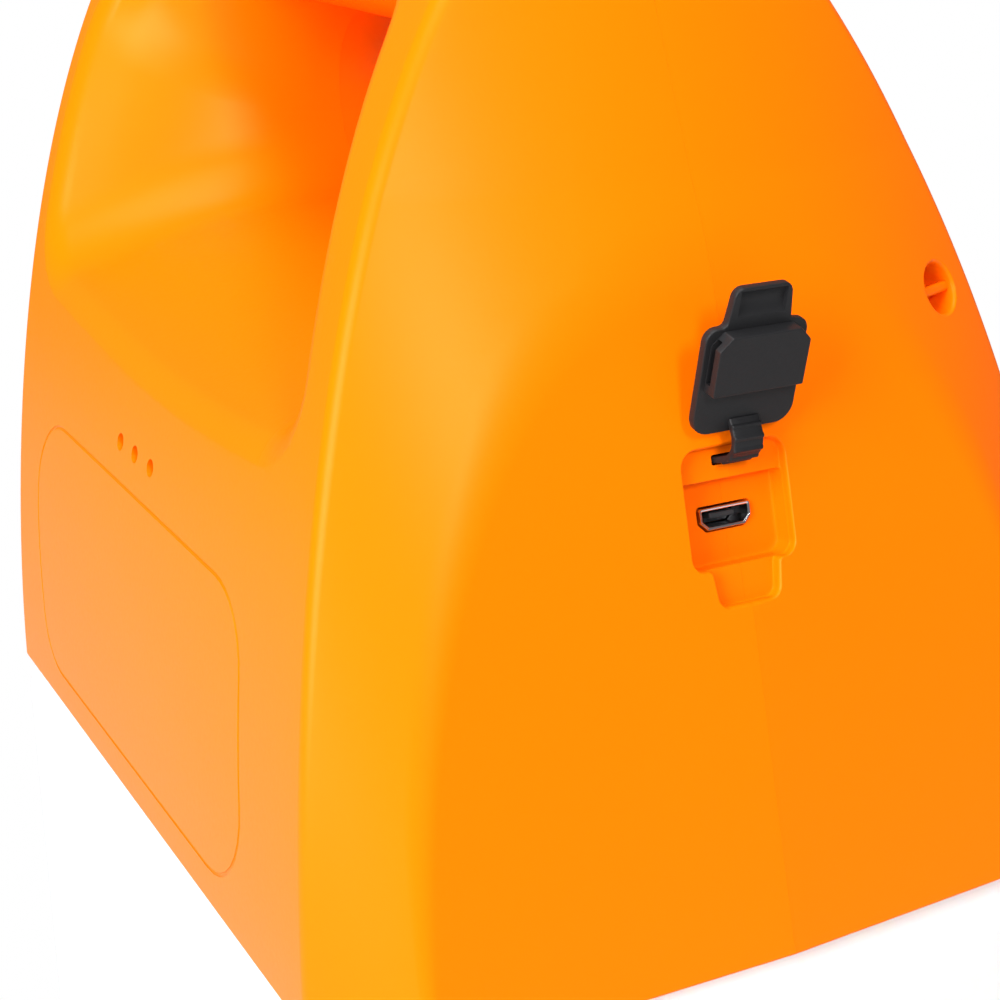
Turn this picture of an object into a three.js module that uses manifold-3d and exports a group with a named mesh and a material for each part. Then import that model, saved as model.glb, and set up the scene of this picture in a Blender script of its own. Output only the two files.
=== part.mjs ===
// Rechargeable hand lamp: an orange two-half shell with a built-in carrying handle over a white light box.
// Millimetres, +Z up, front of the lamp towards -Y, charging port towards +Y, lamp's own left towards +X.
// Shapes are worked out with z = 0 at the seam between the shell and the light box. The whole lamp is
// then moved so that its origin is the centre of its footprint, on the surface it stands on.
import * as THREE from "three";
import { mergeVertices } from "three/addons/utils/BufferGeometryUtils.js";
import Module from "manifold-3d";

const wasm = await Module();
wasm.setup();

// ---- driving dimensions -------------------------------------------------------------------------
// Shell: an arch across the lamp, closed by two round ends that are cut off by flat faces.
const HALF_WIDTH = 60.3; // half the width across the sides, at the seam
const ARCH_HEIGHT = 135; // seam to the top of the handle
const ARCH_POWER = 1.75; // roundness of the arch: 2 is an ellipse
const END_RADIUS = 71.6; // plan radius of both round ends, at the seam
const END_CENTRE = 21.2; // distance of each end's plan centre from the middle, at the seam
const BACK_CENTRE_LEAN = 1.02; // how far the back end's centre moves forward per mm of height
// The back end's radius grows this much per mm of height, more above the height `change`.
const BACK_RADIUS_GROWTH = { low: 0.505, high: 0.56, change: 93 };
const FACE_DISTANCE = 74.2; // middle to the flat faces, at the seam
const BACK_FACE_LEAN = 0.293; // back face leans in, per mm of height
const FRONT_FACE_LEAN = 0.14; // front face leans out, per mm of height
const FACE_RIDGE = 0.032; // fall of each face from its centre line to the sides, per mm
const SHELL_WALL = 2.6;
const HALF_GAP = 0.15; // half the gap at the parting plane x = 0
const FIT = 0.3; // clearance between neighbouring pieces

// Hand opening, drawn on the side surface: corner points (y, z) and their radii.
const OPENING = [
  { y: -65.3, z: 64.2, r: 14 },
  { y: -3, z: 59.3, r: 400 },
  { y: 38.4, z: 62.8, r: 7 },
  { y: 20.2, z: 118, r: 13 },
  { y: -81.9, z: 118, r: 14 },
];
const OPENING_WAIST = 13; // how much the opening narrows all round, at the middle plane

// Light box
const BOX_HEIGHT = 78;
const BOX_WALL = 2.4;
const BOX_SHOULDER = { inset: 3, height: 6 };
const BOX_BOTTOM_ROUND = 7;
const BOX_TOP_GAP = 0.4;
const SPIGOT = { inset: 4.2, wall: 2, top: 3.8 };
const GASKET = { outer: 2.9, inner: 3.9, low: 0.4, high: 2.4 };
const FOOT = { radius: 7, height: 2.6, recess: 0.9, x: 40, y: 50 };

// Chassis and what it carries
const CHASSIS = { low: 7, thickness: 2, inset: 3.1 };
const LEDGE = { inset: 4.4, thickness: 2, lowerTop: 6.6 };
const CHASSIS_SCREW = { x: 50.5, y: 46, radius: 1.6, head: 3, headHeight: 1.8, length: 12 };
const LED_PANEL = { x: 84, y: 108, thickness: 1.6, chip: 3.6, chipHeight: 0.8, columns: 4, rows: 5 };
const CELL = { radius: 9.2, length: 65, pitch: 19.6, count: 4, y: -6 };
const TRAY = { floor: 1.4, wall: 1.6, wallHeight: 10 };
const BATTERY_COVER = { thickness: 1.4, postRadius: 2.2, postHeight: 5 };
const MAIN_BOARD = { x: 76, y: 58, thickness: 1.6 };

// Charging port: a pocket in the back face, measured along the face (v up, n out) from the port.
const PORT_HEIGHT = 53.5; // port centre above the seam
const POCKET = { halfWidth: 7.6, bottom: -5.8, top: 9, ledgeBottom: 5, ledgeDepth: 1.6, depth: 4 };
const NOTCH = { halfWidth: 4.8, bottom: -10.6 };
const POCKET_BLOCK = { halfWidth: 10.2, bottom: -13, top: 12, depth: 6.6 };
const USB = { width: 7.5, height: 2.8, wall: 0.35, front: -3.6, length: 6, chamfer: 1 };
const STRAP = { width: 4.2, thickness: 0.8, v: 7.4, headWidth: 7.6, headHeight: 2.6, headDepth: 1.4 };

// Port cover: hinged above the pocket, drawn open.
const COVER = { halfWidth: 7.3, thickness: 1.2 };
const PLUG = { halfWidth: 6.5, depth: 2, top: 2.7, chamfer: 1.6 }; // on the cover's inner side
const COVER_HINGE = { v: 10.2, n: 0.2 };
const COVER_OPEN_DEG = 152.7; // from shut to where the strap holds it open

// Charge indicators on the left side
const INDICATOR = { y: [-17.4, -11.1, -4.5], z: 49.4, hole: 1.3, guide: 1, sleeve: 2.3, boardX: 41 };

// Spotlight in the front face
const SPOT = { z: 37, lensRadius: 20.6, lensThickness: 2.2, bezelRadius: 25, barrelWall: 1.5 };
const REFLECTOR = { depth: 22, neck: 4.4, rimWidth: 1.4, wall: 1.2, steps: 4 };
const SPOT_LED = { board: 10, thickness: 1.6, base: 2.4, radius: 1.7 };
const HEAT_SINK = { radius: 13, thickness: 8, face: 2.4, slot: 2.8, slots: [-9, -3, 3, 9] };

// Power button on top of the handle
const BUTTON = { y: -60, radius: 6, flange: 7.4, proud: 1.2, travel: 0.8 };

// Screws that pull the right half onto the left half: y, z, and how deep the head sits from the middle.
const SHELL_SCREWS = [
  { name: "back_upper", y: 30, z: 53.5, seat: 22 },
  { name: "back_lower", y: 58.5, z: 19, seat: 22 },
  { name: "front_lower", y: -60, z: 19, seat: 22 },
  { name: "front_upper", y: -77.4, z: 78, seat: 22 },
  { name: "handle_back", y: 28, z: 110, seat: 14 },
  { name: "handle_middle", y: -30, z: 124.6, seat: 9 },
];
const SHELL_SCREW = { radius: 1.5, head: 3.1, headHeight: 2.2, grip: 13 };
const SCREW_HOLE = { boss: 3.5, bore: 1.9, counterbore: 3.8, sleeve: 5.3 };

// Lanyard eye: a round recess in the right shoulder of the back, square to the skin, with a bar across it.
const EYE = { x: -39, z: 75, radius: 3.5, depth: 4.4, wall: 1.9, barHalf: 0.7, barTop: -0.9, barLow: -3.2 };

const BIG = 400; // larger than the lamp, for cutting solids
const ROUND = 18; // sides on a small round piece
const WHEEL = 28; // sides on the spotlight

// ---- colours ------------------------------------------------------------------------------------
const material = (color, roughness, metalness = 0, extra = {}) =>
  new THREE.MeshStandardMaterial({ color, roughness, metalness, ...extra });
const orange = () => material(0xff8c00, 0.42);
const frostedWhite = () => material(0xf6f6f4, 0.35, 0, { transparent: true, opacity: 0.95 });
const blackRubber = () => material(0x1b1b1d, 0.7);
const darkPlastic = () => material(0x2a2b2d, 0.5);
const steel = () => material(0xb9bcc0, 0.3, 1);
const aluminium = () => material(0xc9ccd0, 0.4, 1);
const circuitGreen = () => material(0x14633a, 0.5);
const whiteBoard = () => material(0xf2f2ee, 0.5);
const cellWrap = () => material(0x2f67b5, 0.45);
const nickel = () => material(0xcfd0c8, 0.3, 1);
const clear = () => material(0xf4fafc, 0.05, 0, { transparent: true, opacity: 0.35 });
const darkRed = () => material(0x6b1a12, 0.3);
const mirrorCoat = () => material(0xe4e6e8, 0.08, 1);
const redWire = () => material(0xb3201c, 0.5);
const blackWire = () => material(0x191919, 0.5);

// ---- solids -------------------------------------------------------------------------------------
function solid(geometry, matrix = new THREE.Matrix4()) {
  const bare = geometry.clone().applyMatrix4(matrix);
  bare.deleteAttribute("normal");
  bare.deleteAttribute("uv");
  const merged = mergeVertices(bare, 1e-4);
  return new wasm.Manifold(
    new wasm.Mesh({
      numProp: 3,
      vertProperties: new Float32Array(merged.attributes.position.array),
      triVerts: new Uint32Array(merged.index.array),
    }),
  );
}

function geometryOf(body) {
  const mesh = body.getMesh();
  const geometry = new THREE.BufferGeometry();
  geometry.setAttribute("position", new THREE.BufferAttribute(mesh.vertProperties, 3));
  geometry.setIndex(new THREE.BufferAttribute(mesh.triVerts, 1));
  const flat = geometry.toNonIndexed();
  flat.computeVertexNormals();
  return flat;
}

const join = (bodies) => bodies.reduce((all, one) => all.add(one));
const move = (x, y, z) => new THREE.Matrix4().makeTranslation(x, y, z);

// A box from its lowest to its highest corner, in the frame that the matrix gives.
function box(low, high, frame = new THREE.Matrix4()) {
  const size = high.map((value, i) => value - low[i]);
  const middle = high.map((value, i) => (value + low[i]) / 2);
  return solid(new THREE.BoxGeometry(...size), frame.clone().multiply(move(...middle)));
}

// Turned pieces: a closed profile of [radius, height] points about the frame's z axis.
function turned(profile, frame = new THREE.Matrix4(), sides = ROUND) {
  const points = profile.map(([radius, height]) => new THREE.Vector2(radius, height));
  if (THREE.ShapeUtils.area(points) < 0) points.reverse();
  const first = points[0];
  const last = points[points.length - 1];
  if (first.x > 0 || last.x > 0) points.push(first.clone());
  const stand = new THREE.Matrix4().makeRotationX(Math.PI / 2);
  return solid(new THREE.LatheGeometry(points, sides), frame.clone().multiply(stand));
}

const rod = (radius, low, high, frame, sides) =>
  turned([[0, low], [radius, low], [radius, high], [0, high]], frame, sides);
const ring = (inner, outer, low, high, frame, sides) =>
  turned([[inner, low], [outer, low], [outer, high], [inner, high]], frame, sides);

// Frame whose z axis runs along +X through the point (y, z), for screws and their bosses.
const acrossAt = (y, z) => move(0, y, z).multiply(new THREE.Matrix4().makeRotationY(Math.PI / 2));

// A closed skin through rings of points that all have the same count; the end rings are capped.
function loft(rings) {
  const count = rings[0].length;
  const positions = rings.flat().flatMap((p) => [p.x, p.y, p.z]);
  const index = [];
  for (let level = 0; level + 1 < rings.length; level++) {
    for (let i = 0; i < count; i++) {
      const a = level * count + i;
      const b = level * count + ((i + 1) % count);
      index.push(a, b, b + count, a, b + count, a + count);
    }
  }
  const cap = (start, flip) => {
    const points = rings[start / count];
    const spanX = Math.max(...points.map((p) => p.x)) - Math.min(...points.map((p) => p.x));
    const spanZ = Math.max(...points.map((p) => p.z)) - Math.min(...points.map((p) => p.z));
    const upright = spanZ > spanX;
    const flat = points.map((p) => new THREE.Vector2(upright ? p.y : p.x, upright ? p.z : p.y));
    for (const [a, b, c] of THREE.ShapeUtils.triangulateShape(flat, [])) {
      index.push(start + a, start + (flip ? c : b), start + (flip ? b : c));
    }
  };
  cap(0, true);
  cap((rings.length - 1) * count, false);
  const geometry = new THREE.BufferGeometry();
  geometry.setAttribute("position", new THREE.Float32BufferAttribute(positions, 3));
  geometry.setIndex(index);
  return solid(geometry);
}

// Everything on the outer side of the plane normal . p = distance.
function beyond(normal, distance) {
  const unit = new THREE.Vector3(...normal).normalize();
  const scale = new THREE.Vector3(...normal).length();
  const turn = new THREE.Quaternion().setFromUnitVectors(new THREE.Vector3(0, 0, 1), unit);
  const frame = new THREE.Matrix4().makeRotationFromQuaternion(turn);
  return box([-BIG, -BIG, distance / scale], [BIG, BIG, BIG], frame);
}

// ---- the lamp's outline -------------------------------------------------------------------------
// Half width of the arch at a height, for a skin that lies `inset` inside the outer surface.
function halfWidthAt(z, inset = 0) {
  const share = Math.min(1, Math.max(0, z) / (ARCH_HEIGHT - inset));
  return (HALF_WIDTH - inset) * (1 - share ** ARCH_POWER) ** (1 / ARCH_POWER);
}

// The arch, run right through from front to back.
function archBody(low, inset) {
  const steps = 18;
  const top = ARCH_HEIGHT - inset;
  const side = [];
  for (let i = 0; i <= steps; i++) {
    const z = top * Math.sin((i / steps) * (Math.PI / 2));
    side.push(new THREE.Vector2(halfWidthAt(z, inset), z));
  }
  const shape = new THREE.Shape([
    new THREE.Vector2(HALF_WIDTH - inset, low),
    ...(low < 0 ? side : side.filter((p) => p.y > low)),
    ...side
      .slice(0, -1)
      .reverse()
      .filter((p) => low < 0 || p.y > low)
      .map((p) => new THREE.Vector2(-p.x, p.y)),
    new THREE.Vector2(inset - HALF_WIDTH, low),
  ]);
  const geometry = new THREE.ExtrudeGeometry(shape, { depth: 2 * BIG, bevelEnabled: false });
  const frame = new THREE.Matrix4().makeRotationX(Math.PI / 2).premultiply(move(0, BIG, 0));
  return solid(geometry, frame);
}

// Plan radius of the back end at a height.
function backRadiusAt(z, inset) {
  const { low, high, change } = BACK_RADIUS_GROWTH;
  return END_RADIUS + low * Math.min(z, change) + high * Math.max(0, z - change) - inset;
}

// The two round ends: straight lines join the arcs of one ring to those of the next.
function endBody(low, inset) {
  const steps = 16;
  const widest = Math.asin(0.94);
  const ringAt = (z) => {
    const points = [];
    const backRadius = backRadiusAt(z, inset);
    const backCentre = END_CENTRE - BACK_CENTRE_LEAN * z;
    for (let i = 0; i <= steps; i++) {
      const angle = widest * (1 - (2 * i) / steps);
      const y = backCentre + backRadius * Math.cos(angle);
      points.push(new THREE.Vector3(backRadius * Math.sin(angle), y, z));
    }
    const frontRadius = END_RADIUS - inset;
    for (let i = 0; i <= steps; i++) {
      const angle = -widest * (1 - (2 * i) / steps);
      const reach = frontRadius * Math.cos(angle);
      points.push(new THREE.Vector3(frontRadius * Math.sin(angle), -END_CENTRE - reach, z));
    }
    return points;
  };
  return loft([low, BACK_RADIUS_GROWTH.change, ARCH_HEIGHT + 1].map(ringAt));
}

// One half of the solid body that lies `inset` inside the outer surface; side is +1 left, -1 right.
function halfBody(side, low, inset) {
  const back = [FACE_RIDGE * side, 1, BACK_FACE_LEAN];
  const front = [FACE_RIDGE * side, -1, -FRONT_FACE_LEAN];
  const middle =
    side > 0
      ? box([-BIG, -BIG, -BIG], [HALF_GAP, BIG, BIG])
      : box([-HALF_GAP, -BIG, -BIG], [BIG, BIG, BIG]);
  return archBody(low, inset)
    .intersect(endBody(low, inset))
    .subtract(beyond(back, FACE_DISTANCE - inset))
    .subtract(beyond(front, FACE_DISTANCE - inset))
    .subtract(middle);
}

// Corner points of a polygon whose edges are moved inwards (or outwards, when negative).
function insetCorners(corners, distance) {
  const count = corners.length;
  const edges = corners.map((a, i) => {
    const b = corners[(i + 1) % count];
    const length = Math.hypot(b.y - a.y, b.z - a.z);
    const normal = { y: -(b.z - a.z) / length, z: (b.y - a.y) / length };
    return { normal, offset: normal.y * a.y + normal.z * a.z + distance };
  });
  return corners.map((corner, i) => {
    const p = edges[(i + count - 1) % count];
    const q = edges[i];
    const det = p.normal.y * q.normal.z - p.normal.z * q.normal.y;
    return {
      y: (p.offset * q.normal.z - q.offset * p.normal.z) / det,
      z: (q.offset * p.normal.y - p.offset * q.normal.y) / det,
      r: corner.r,
    };
  });
}

// Points round a polygon with rounded corners, the same number on each corner. A corner that is too
// large for its neighbours is drawn with the largest radius that fits between them.
function roundedOutline(corners, steps) {
  const count = corners.length;
  const points = corners.map((corner) => new THREE.Vector2(corner.y, corner.z));
  const halves = points.map((here, i) => {
    const back = points[(i + count - 1) % count].clone().sub(here);
    const ahead = points[(i + 1) % count].clone().sub(here);
    return Math.abs(back.angleTo(ahead)) / 2;
  });
  return corners.flatMap((corner, i) => {
    const here = points[i];
    const neighbours = [(i + count - 1) % count, (i + 1) % count];
    const room = neighbours.map((n) => {
      const taken = corners[n].r < corner.r ? corners[n].r / Math.tan(halves[n]) : 0;
      return points[n].distanceTo(here) - taken;
    });
    const radius = Math.min(corner.r, 0.96 * Math.min(...room) * Math.tan(halves[i]));
    const back = points[neighbours[0]].clone().sub(here).normalize();
    const ahead = points[neighbours[1]].clone().sub(here).normalize();
    const inwards = back.clone().add(ahead).normalize();
    const centre = inwards.multiplyScalar(radius / Math.sin(halves[i])).add(here);
    const start = here.clone().addScaledVector(back, radius / Math.tan(halves[i])).sub(centre);
    const sweep = Math.PI - 2 * halves[i];
    return Array.from({ length: steps + 1 }, (_, k) =>
      start.clone().rotateAround(new THREE.Vector2(), (sweep * k) / steps).add(centre),
    );
  });
}

// The hand opening, wide at the sides and narrow at the middle plane.
function openingBody(expand) {
  const stations = [-1.15, -0.9, -0.65, -0.35, 0, 0.35, 0.65, 0.9, 1.15];
  const rings = stations.map((share) => {
    const narrowing = OPENING_WAIST * (1 - share * share) - expand;
    return roundedOutline(insetCorners(OPENING, narrowing), 5).map(
      (p) => new THREE.Vector3(share * halfWidthAt(Math.min(p.y, ARCH_HEIGHT - 4)), p.x, p.y),
    );
  });
  return loft(rings);
}

// One corner of the plan outline, from the side round to the flat face, as [x, distance from the middle].
function cornerArc(radius, centre, face, halfWidth) {
  const steps = 4;
  const flatAngle = Math.acos((face - FACE_RIDGE * 48 - centre) / radius);
  const sideAngle = Math.asin(halfWidth / radius);
  return Array.from({ length: steps + 1 }, (_, i) => {
    const angle = sideAngle + ((flatAngle - sideAngle) * i) / steps;
    return [radius * Math.sin(angle), centre + radius * Math.cos(angle)];
  });
}

// Plan outline of the lamp at a height, moved inwards. Below the seam it is the seam's outline.
function planOutline(z, inset) {
  const high = Math.max(0, z);
  const half = halfWidthAt(high, inset);
  const backFace = FACE_DISTANCE - BACK_FACE_LEAN * high - inset;
  const frontFace = FACE_DISTANCE + FRONT_FACE_LEAN * high - inset;
  const back = cornerArc(backRadiusAt(high, inset), END_CENTRE - BACK_CENTRE_LEAN * high, backFace, half);
  const front = cornerArc(END_RADIUS - inset, END_CENTRE, frontFace, half);
  return [
    ...back,
    [0, backFace],
    ...back.map(([x, y]) => [-x, y]).reverse(),
    ...front.map(([x, y]) => [-x, -y]),
    [0, -frontFace],
    ...front.map(([x, y]) => [x, -y]).reverse(),
  ];
}

// A prism with the plan outline; each level is [height, inset].
const planBody = (levels) =>
  loft(levels.map(([z, inset]) => planOutline(z, inset).map(([x, y]) => new THREE.Vector3(x, y, z))));

// ---- frames on the sloping faces ----------------------------------------------------------------
// Back face: x across, y up the slope, z out of the face, origin at the charging port.
const backLean = Math.atan(BACK_FACE_LEAN);
const portFrame = move(0, FACE_DISTANCE - BACK_FACE_LEAN * PORT_HEIGHT, PORT_HEIGHT).multiply(
  new THREE.Matrix4().makeBasis(
    new THREE.Vector3(-1, 0, 0),
    new THREE.Vector3(0, -Math.sin(backLean), Math.cos(backLean)),
    new THREE.Vector3(0, Math.cos(backLean), Math.sin(backLean)),
  ),
);
// Front face: z out of the face, origin on the spotlight's axis.
const frontLean = Math.atan(FRONT_FACE_LEAN);
const spotFrame = move(0, -FACE_DISTANCE - FRONT_FACE_LEAN * SPOT.z, SPOT.z).multiply(
  new THREE.Matrix4().makeBasis(
    new THREE.Vector3(1, 0, 0),
    new THREE.Vector3(0, -Math.sin(frontLean), Math.cos(frontLean)),
    new THREE.Vector3(0, -Math.cos(frontLean), -Math.sin(frontLean)),
  ),
);
const buttonFrame = move(0, BUTTON.y, ARCH_HEIGHT);

// Distance of the round back end from the middle plane, at a place across and a height.
const backEndAt = (x, z) => END_CENTRE - BACK_CENTRE_LEAN * z + Math.sqrt(backRadiusAt(z, 0) ** 2 - x * x);

// Lanyard eye: z square to the skin, x level.
function eyeFrame() {
  const { x, z } = EYE;
  const y = backEndAt(x, z);
  const across = new THREE.Vector3(2, backEndAt(x + 1, z) - backEndAt(x - 1, z), 0);
  const up = new THREE.Vector3(0, backEndAt(x, z + 1) - backEndAt(x, z - 1), 2);
  const out = up.clone().cross(across).normalize();
  const level = across.normalize().negate();
  return move(x, y, z).multiply(new THREE.Matrix4().makeBasis(level, out.clone().cross(level), out));
}

// ---- levels inside the lamp ---------------------------------------------------------------------
const chassisTop = CHASSIS.low + CHASSIS.thickness;
const trayFloor = chassisTop + FIT;
const cellAxis = trayFloor + TRAY.floor + FIT + CELL.radius;
const coverLow = cellAxis + CELL.radius + FIT;
const boardLow = coverLow + BATTERY_COVER.thickness + BATTERY_COVER.postHeight + FIT;
const boardTop = boardLow + MAIN_BOARD.thickness;
const packHalfX = (CELL.count * CELL.pitch) / 2 + FIT;
const packHalfY = CELL.length / 2 + 1.6;
const spotBarrel = SPOT.lensRadius + FIT + SPOT.barrelWall;
const floorBottom = -BOX_TOP_GAP - BOX_HEIGHT;

// ---- shell halves -------------------------------------------------------------------------------
function pocketBlock() {
  const { halfWidth, bottom, top, depth } = POCKET_BLOCK;
  return box([-halfWidth, bottom, -depth], [halfWidth, top, 1], portFrame);
}

function pocketCut() {
  const { halfWidth, bottom, top, ledgeBottom, ledgeDepth, depth } = POCKET;
  const through = POCKET_BLOCK.depth + 2;
  const halfPort = USB.width / 2 + FIT;
  const halfPortHeight = USB.height / 2 + FIT;
  const slotHalf = STRAP.width / 2 + FIT;
  const slotRise = STRAP.thickness / 2 + FIT;
  return join([
    box([-halfWidth, bottom, -ledgeDepth], [halfWidth, top, 5], portFrame),
    box([-halfWidth, bottom, -depth], [halfWidth, ledgeBottom, 5], portFrame),
    box([-NOTCH.halfWidth, NOTCH.bottom, -ledgeDepth], [NOTCH.halfWidth, bottom + 1, 5], portFrame),
    box([-halfPort, -halfPortHeight, -through], [halfPort, halfPortHeight, 0], portFrame),
    box([-slotHalf, STRAP.v - slotRise, -through], [slotHalf, STRAP.v + slotRise, 0], portFrame),
  ]);
}

function shellHalf(side) {
  const name = side > 0 ? "shell_left" : "shell_right";
  const outer = halfBody(side, 0, 0);
  const cavity = halfBody(side, -1, SHELL_WALL).subtract(openingBody(SHELL_WALL));
  const ledges = planBody([
    [LEDGE.lowerTop - LEDGE.thickness, 0],
    [chassisTop + FIT + LEDGE.thickness, 0],
  ])
    .subtract(planBody([[0, LEDGE.inset], [BIG / 8, LEDGE.inset]]))
    .subtract(planBody([[LEDGE.lowerTop, SHELL_WALL], [chassisTop + FIT, SHELL_WALL]]));
  const { boss } = SCREW_HOLE;
  const bosses = SHELL_SCREWS.map((screw) => rod(boss, -BIG, BIG, acrossAt(screw.y, screw.z), 16));
  const extras = [pocketBlock(), ledges, ...bosses];
  const cuts = [openingBody(0), pocketCut(), rod(spotBarrel + FIT, -BIG / 10, 10, spotFrame, WHEEL)];
  cuts.push(rod(BUTTON.radius + FIT, -6, 10, buttonFrame));
  for (const screw of SHELL_SCREWS) {
    const across = acrossAt(screw.y, screw.z);
    if (side > 0) {
      cuts.push(rod(SHELL_SCREW.radius + FIT, -1, SHELL_SCREW.grip + 1, across, 16));
    } else {
      extras.push(rod(SCREW_HOLE.sleeve, -BIG, -screw.seat + 2, across, 20));
      cuts.push(rod(SCREW_HOLE.bore, -BIG, 1, across, 16));
      cuts.push(rod(SCREW_HOLE.counterbore, -BIG, -screw.seat, across, 20));
    }
  }
  if (side < 0) {
    const { radius, depth, wall, barHalf, barTop, barLow } = EYE;
    const bar = box([-radius - 1, -barHalf, barLow], [radius + 1, barHalf, barTop], eyeFrame());
    extras.push(rod(radius + wall, -depth - wall, 1, eyeFrame(), 24));
    cuts.push(rod(radius, -depth, 6, eyeFrame(), 24).subtract(bar));
  } else {
    for (const y of INDICATOR.y) {
      const start = INDICATOR.boardX + 3.4;
      extras.push(rod(INDICATOR.sleeve, start, halfWidthAt(INDICATOR.z) - 1, acrossAt(y, INDICATOR.z), 12));
      cuts.push(rod(INDICATOR.hole, start - 1, BIG, acrossAt(y, INDICATOR.z), 12));
    }
  }
  // Extras fill the cavity again, but never stand out of the outer skin or into the opening.
  const filled = outer.subtract(cavity.subtract(join(extras)));
  const body = filled.subtract(join(cuts));
  return [name, body, orange()];
}

// ---- light box ----------------------------------------------------------------------------------
function diffuser() {
  const top = -BOX_TOP_GAP;
  const shoulder = [0, 0.35, 0.7, 1].map((share) => {
    const angle = (share * Math.PI) / 2;
    return [
      top - BOX_SHOULDER.height * (1 - Math.cos(angle)),
      BOX_SHOULDER.inset * (1 - Math.sin(angle)) + 0.2,
    ];
  });
  const bottom = [0, 0.35, 0.7, 1].map((share) => {
    const angle = (share * Math.PI) / 2;
    return [
      floorBottom + BOX_BOTTOM_ROUND * (1 - Math.sin(angle)),
      BOX_BOTTOM_ROUND * (1 - Math.cos(angle)) + 0.2,
    ];
  });
  const outside = planBody([...bottom.reverse(), ...shoulder.reverse()]);
  const inside = planBody([
    [floorBottom + BOX_WALL, BOX_BOTTOM_ROUND],
    [floorBottom + BOX_WALL + BOX_BOTTOM_ROUND, BOX_WALL + 0.2],
    [top - BOX_SHOULDER.height, BOX_WALL + 0.2],
    [top - BOX_WALL, SPIGOT.inset + SPIGOT.wall],
    [top + 10, SPIGOT.inset + SPIGOT.wall],
  ]);
  const spigot = planBody([[top - BOX_WALL, SPIGOT.inset], [SPIGOT.top, SPIGOT.inset]]);
  const posts = [];
  const holes = [];
  for (const x of [-CHASSIS_SCREW.x, CHASSIS_SCREW.x]) {
    for (const y of [-CHASSIS_SCREW.y, CHASSIS_SCREW.y]) {
      const at = move(x, y, 0);
      posts.push(rod(3.6, -14, CHASSIS.low - FIT, at, 16));
      const wall = Math.sign(x) * (HALF_WIDTH - 2);
      posts.push(box([Math.min(x, wall), y - 1, -12], [Math.max(x, wall), y + 1, -4]));
      holes.push(rod(CHASSIS_SCREW.radius + FIT, -10, 20, at, 12));
    }
  }
  const hollow = inside.subtract(join(posts));
  const room = planBody([[-15, BOX_WALL], [CHASSIS.low, BOX_WALL]]);
  const body = join([outside, spigot, ...posts.map((post) => post.intersect(room))])
    .subtract(hollow.intersect(box([-BIG, -BIG, floorBottom], [BIG, BIG, BIG])))
    .subtract(join(holes));
  const recesses = feetPlaces().map(([x, y]) =>
    rod(FOOT.radius + FIT, floorBottom - 1, floorBottom + FOOT.recess + FIT, move(x, y, 0), ROUND),
  );
  return ["diffuser", body.subtract(join(recesses)), frostedWhite()];
}

function feetPlaces() {
  const places = [];
  for (const y of [-FOOT.y, FOOT.y]) {
    for (const x of [-FOOT.x, FOOT.x]) places.push([x, y]);
  }
  return places;
}

function feet() {
  return feetPlaces().map(([x, y], i) => {
    const top = floorBottom + FOOT.recess;
    const low = top - FOOT.height;
    const { radius } = FOOT;
    const profile = [[0, low], [radius - 1, low], [radius, low + 0.8], [radius, top], [0, top]];
    return [`foot_${i + 1}`, turned(profile, move(x, y, 0)), blackRubber()];
  });
}

function diffuserGasket() {
  const { outer, inner, low, high } = GASKET;
  const inside = planBody([[low - 1, inner], [high + 1, inner]]);
  const body = planBody([[low, outer], [high, outer]]).subtract(inside);
  return ["diffuser_gasket", body, blackRubber()];
}

// ---- chassis, light panel and battery -----------------------------------------------------------
function chassisPlate() {
  const plate = planBody([[CHASSIS.low, CHASSIS.inset], [chassisTop, CHASSIS.inset]]);
  const holes = [];
  for (const x of [-CHASSIS_SCREW.x, CHASSIS_SCREW.x]) {
    for (const y of [-CHASSIS_SCREW.y, CHASSIS_SCREW.y]) {
      holes.push(rod(CHASSIS_SCREW.radius + FIT, 0, 20, move(x, y, 0), 12));
    }
  }
  holes.push(rod(3, 0, 20, move(0, 42, 0), 16));
  return ["chassis_plate", plate.subtract(join(holes)), aluminium()];
}

function chassisScrews() {
  const { x, y, radius, head, headHeight, length } = CHASSIS_SCREW;
  const low = chassisTop + FIT;
  const places = [[-x, -y], [x, -y], [-x, y], [x, y]];
  return places.map(([px, py], i) => {
    const at = move(px, py, 0);
    const driver = box([-0.5, -1.6, low + headHeight - 0.9], [0.5, 1.6, low + headHeight + 1], at);
    const body = rod(radius, low - length, low + 0.5, at, 12)
      .add(rod(head, low, low + headHeight, at, 16))
      .subtract(driver);
    return [`chassis_screw_${i + 1}`, body, steel()];
  });
}

function ledPanel() {
  const { x, y, thickness, chip, chipHeight, columns, rows } = LED_PANEL;
  const top = CHASSIS.low - FIT;
  const low = top - thickness;
  const chips = [];
  for (let i = 0; i < columns; i++) {
    for (let j = 0; j < rows; j++) {
      const cx = (i / (columns - 1) - 0.5) * (x - 18);
      const cy = (j / (rows - 1) - 0.5) * (y - 20);
      const half = chip / 2;
      chips.push(box([cx - half, cy - half, low - chipHeight], [cx + half, cy + half, low + 0.2]));
    }
  }
  const board = box([-x / 2, -y / 2, low], [x / 2, y / 2, top]);
  return ["area_light_board", board.add(join(chips)), whiteBoard()];
}

const cellX = (i) => (i - (CELL.count - 1) / 2) * CELL.pitch;

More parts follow.
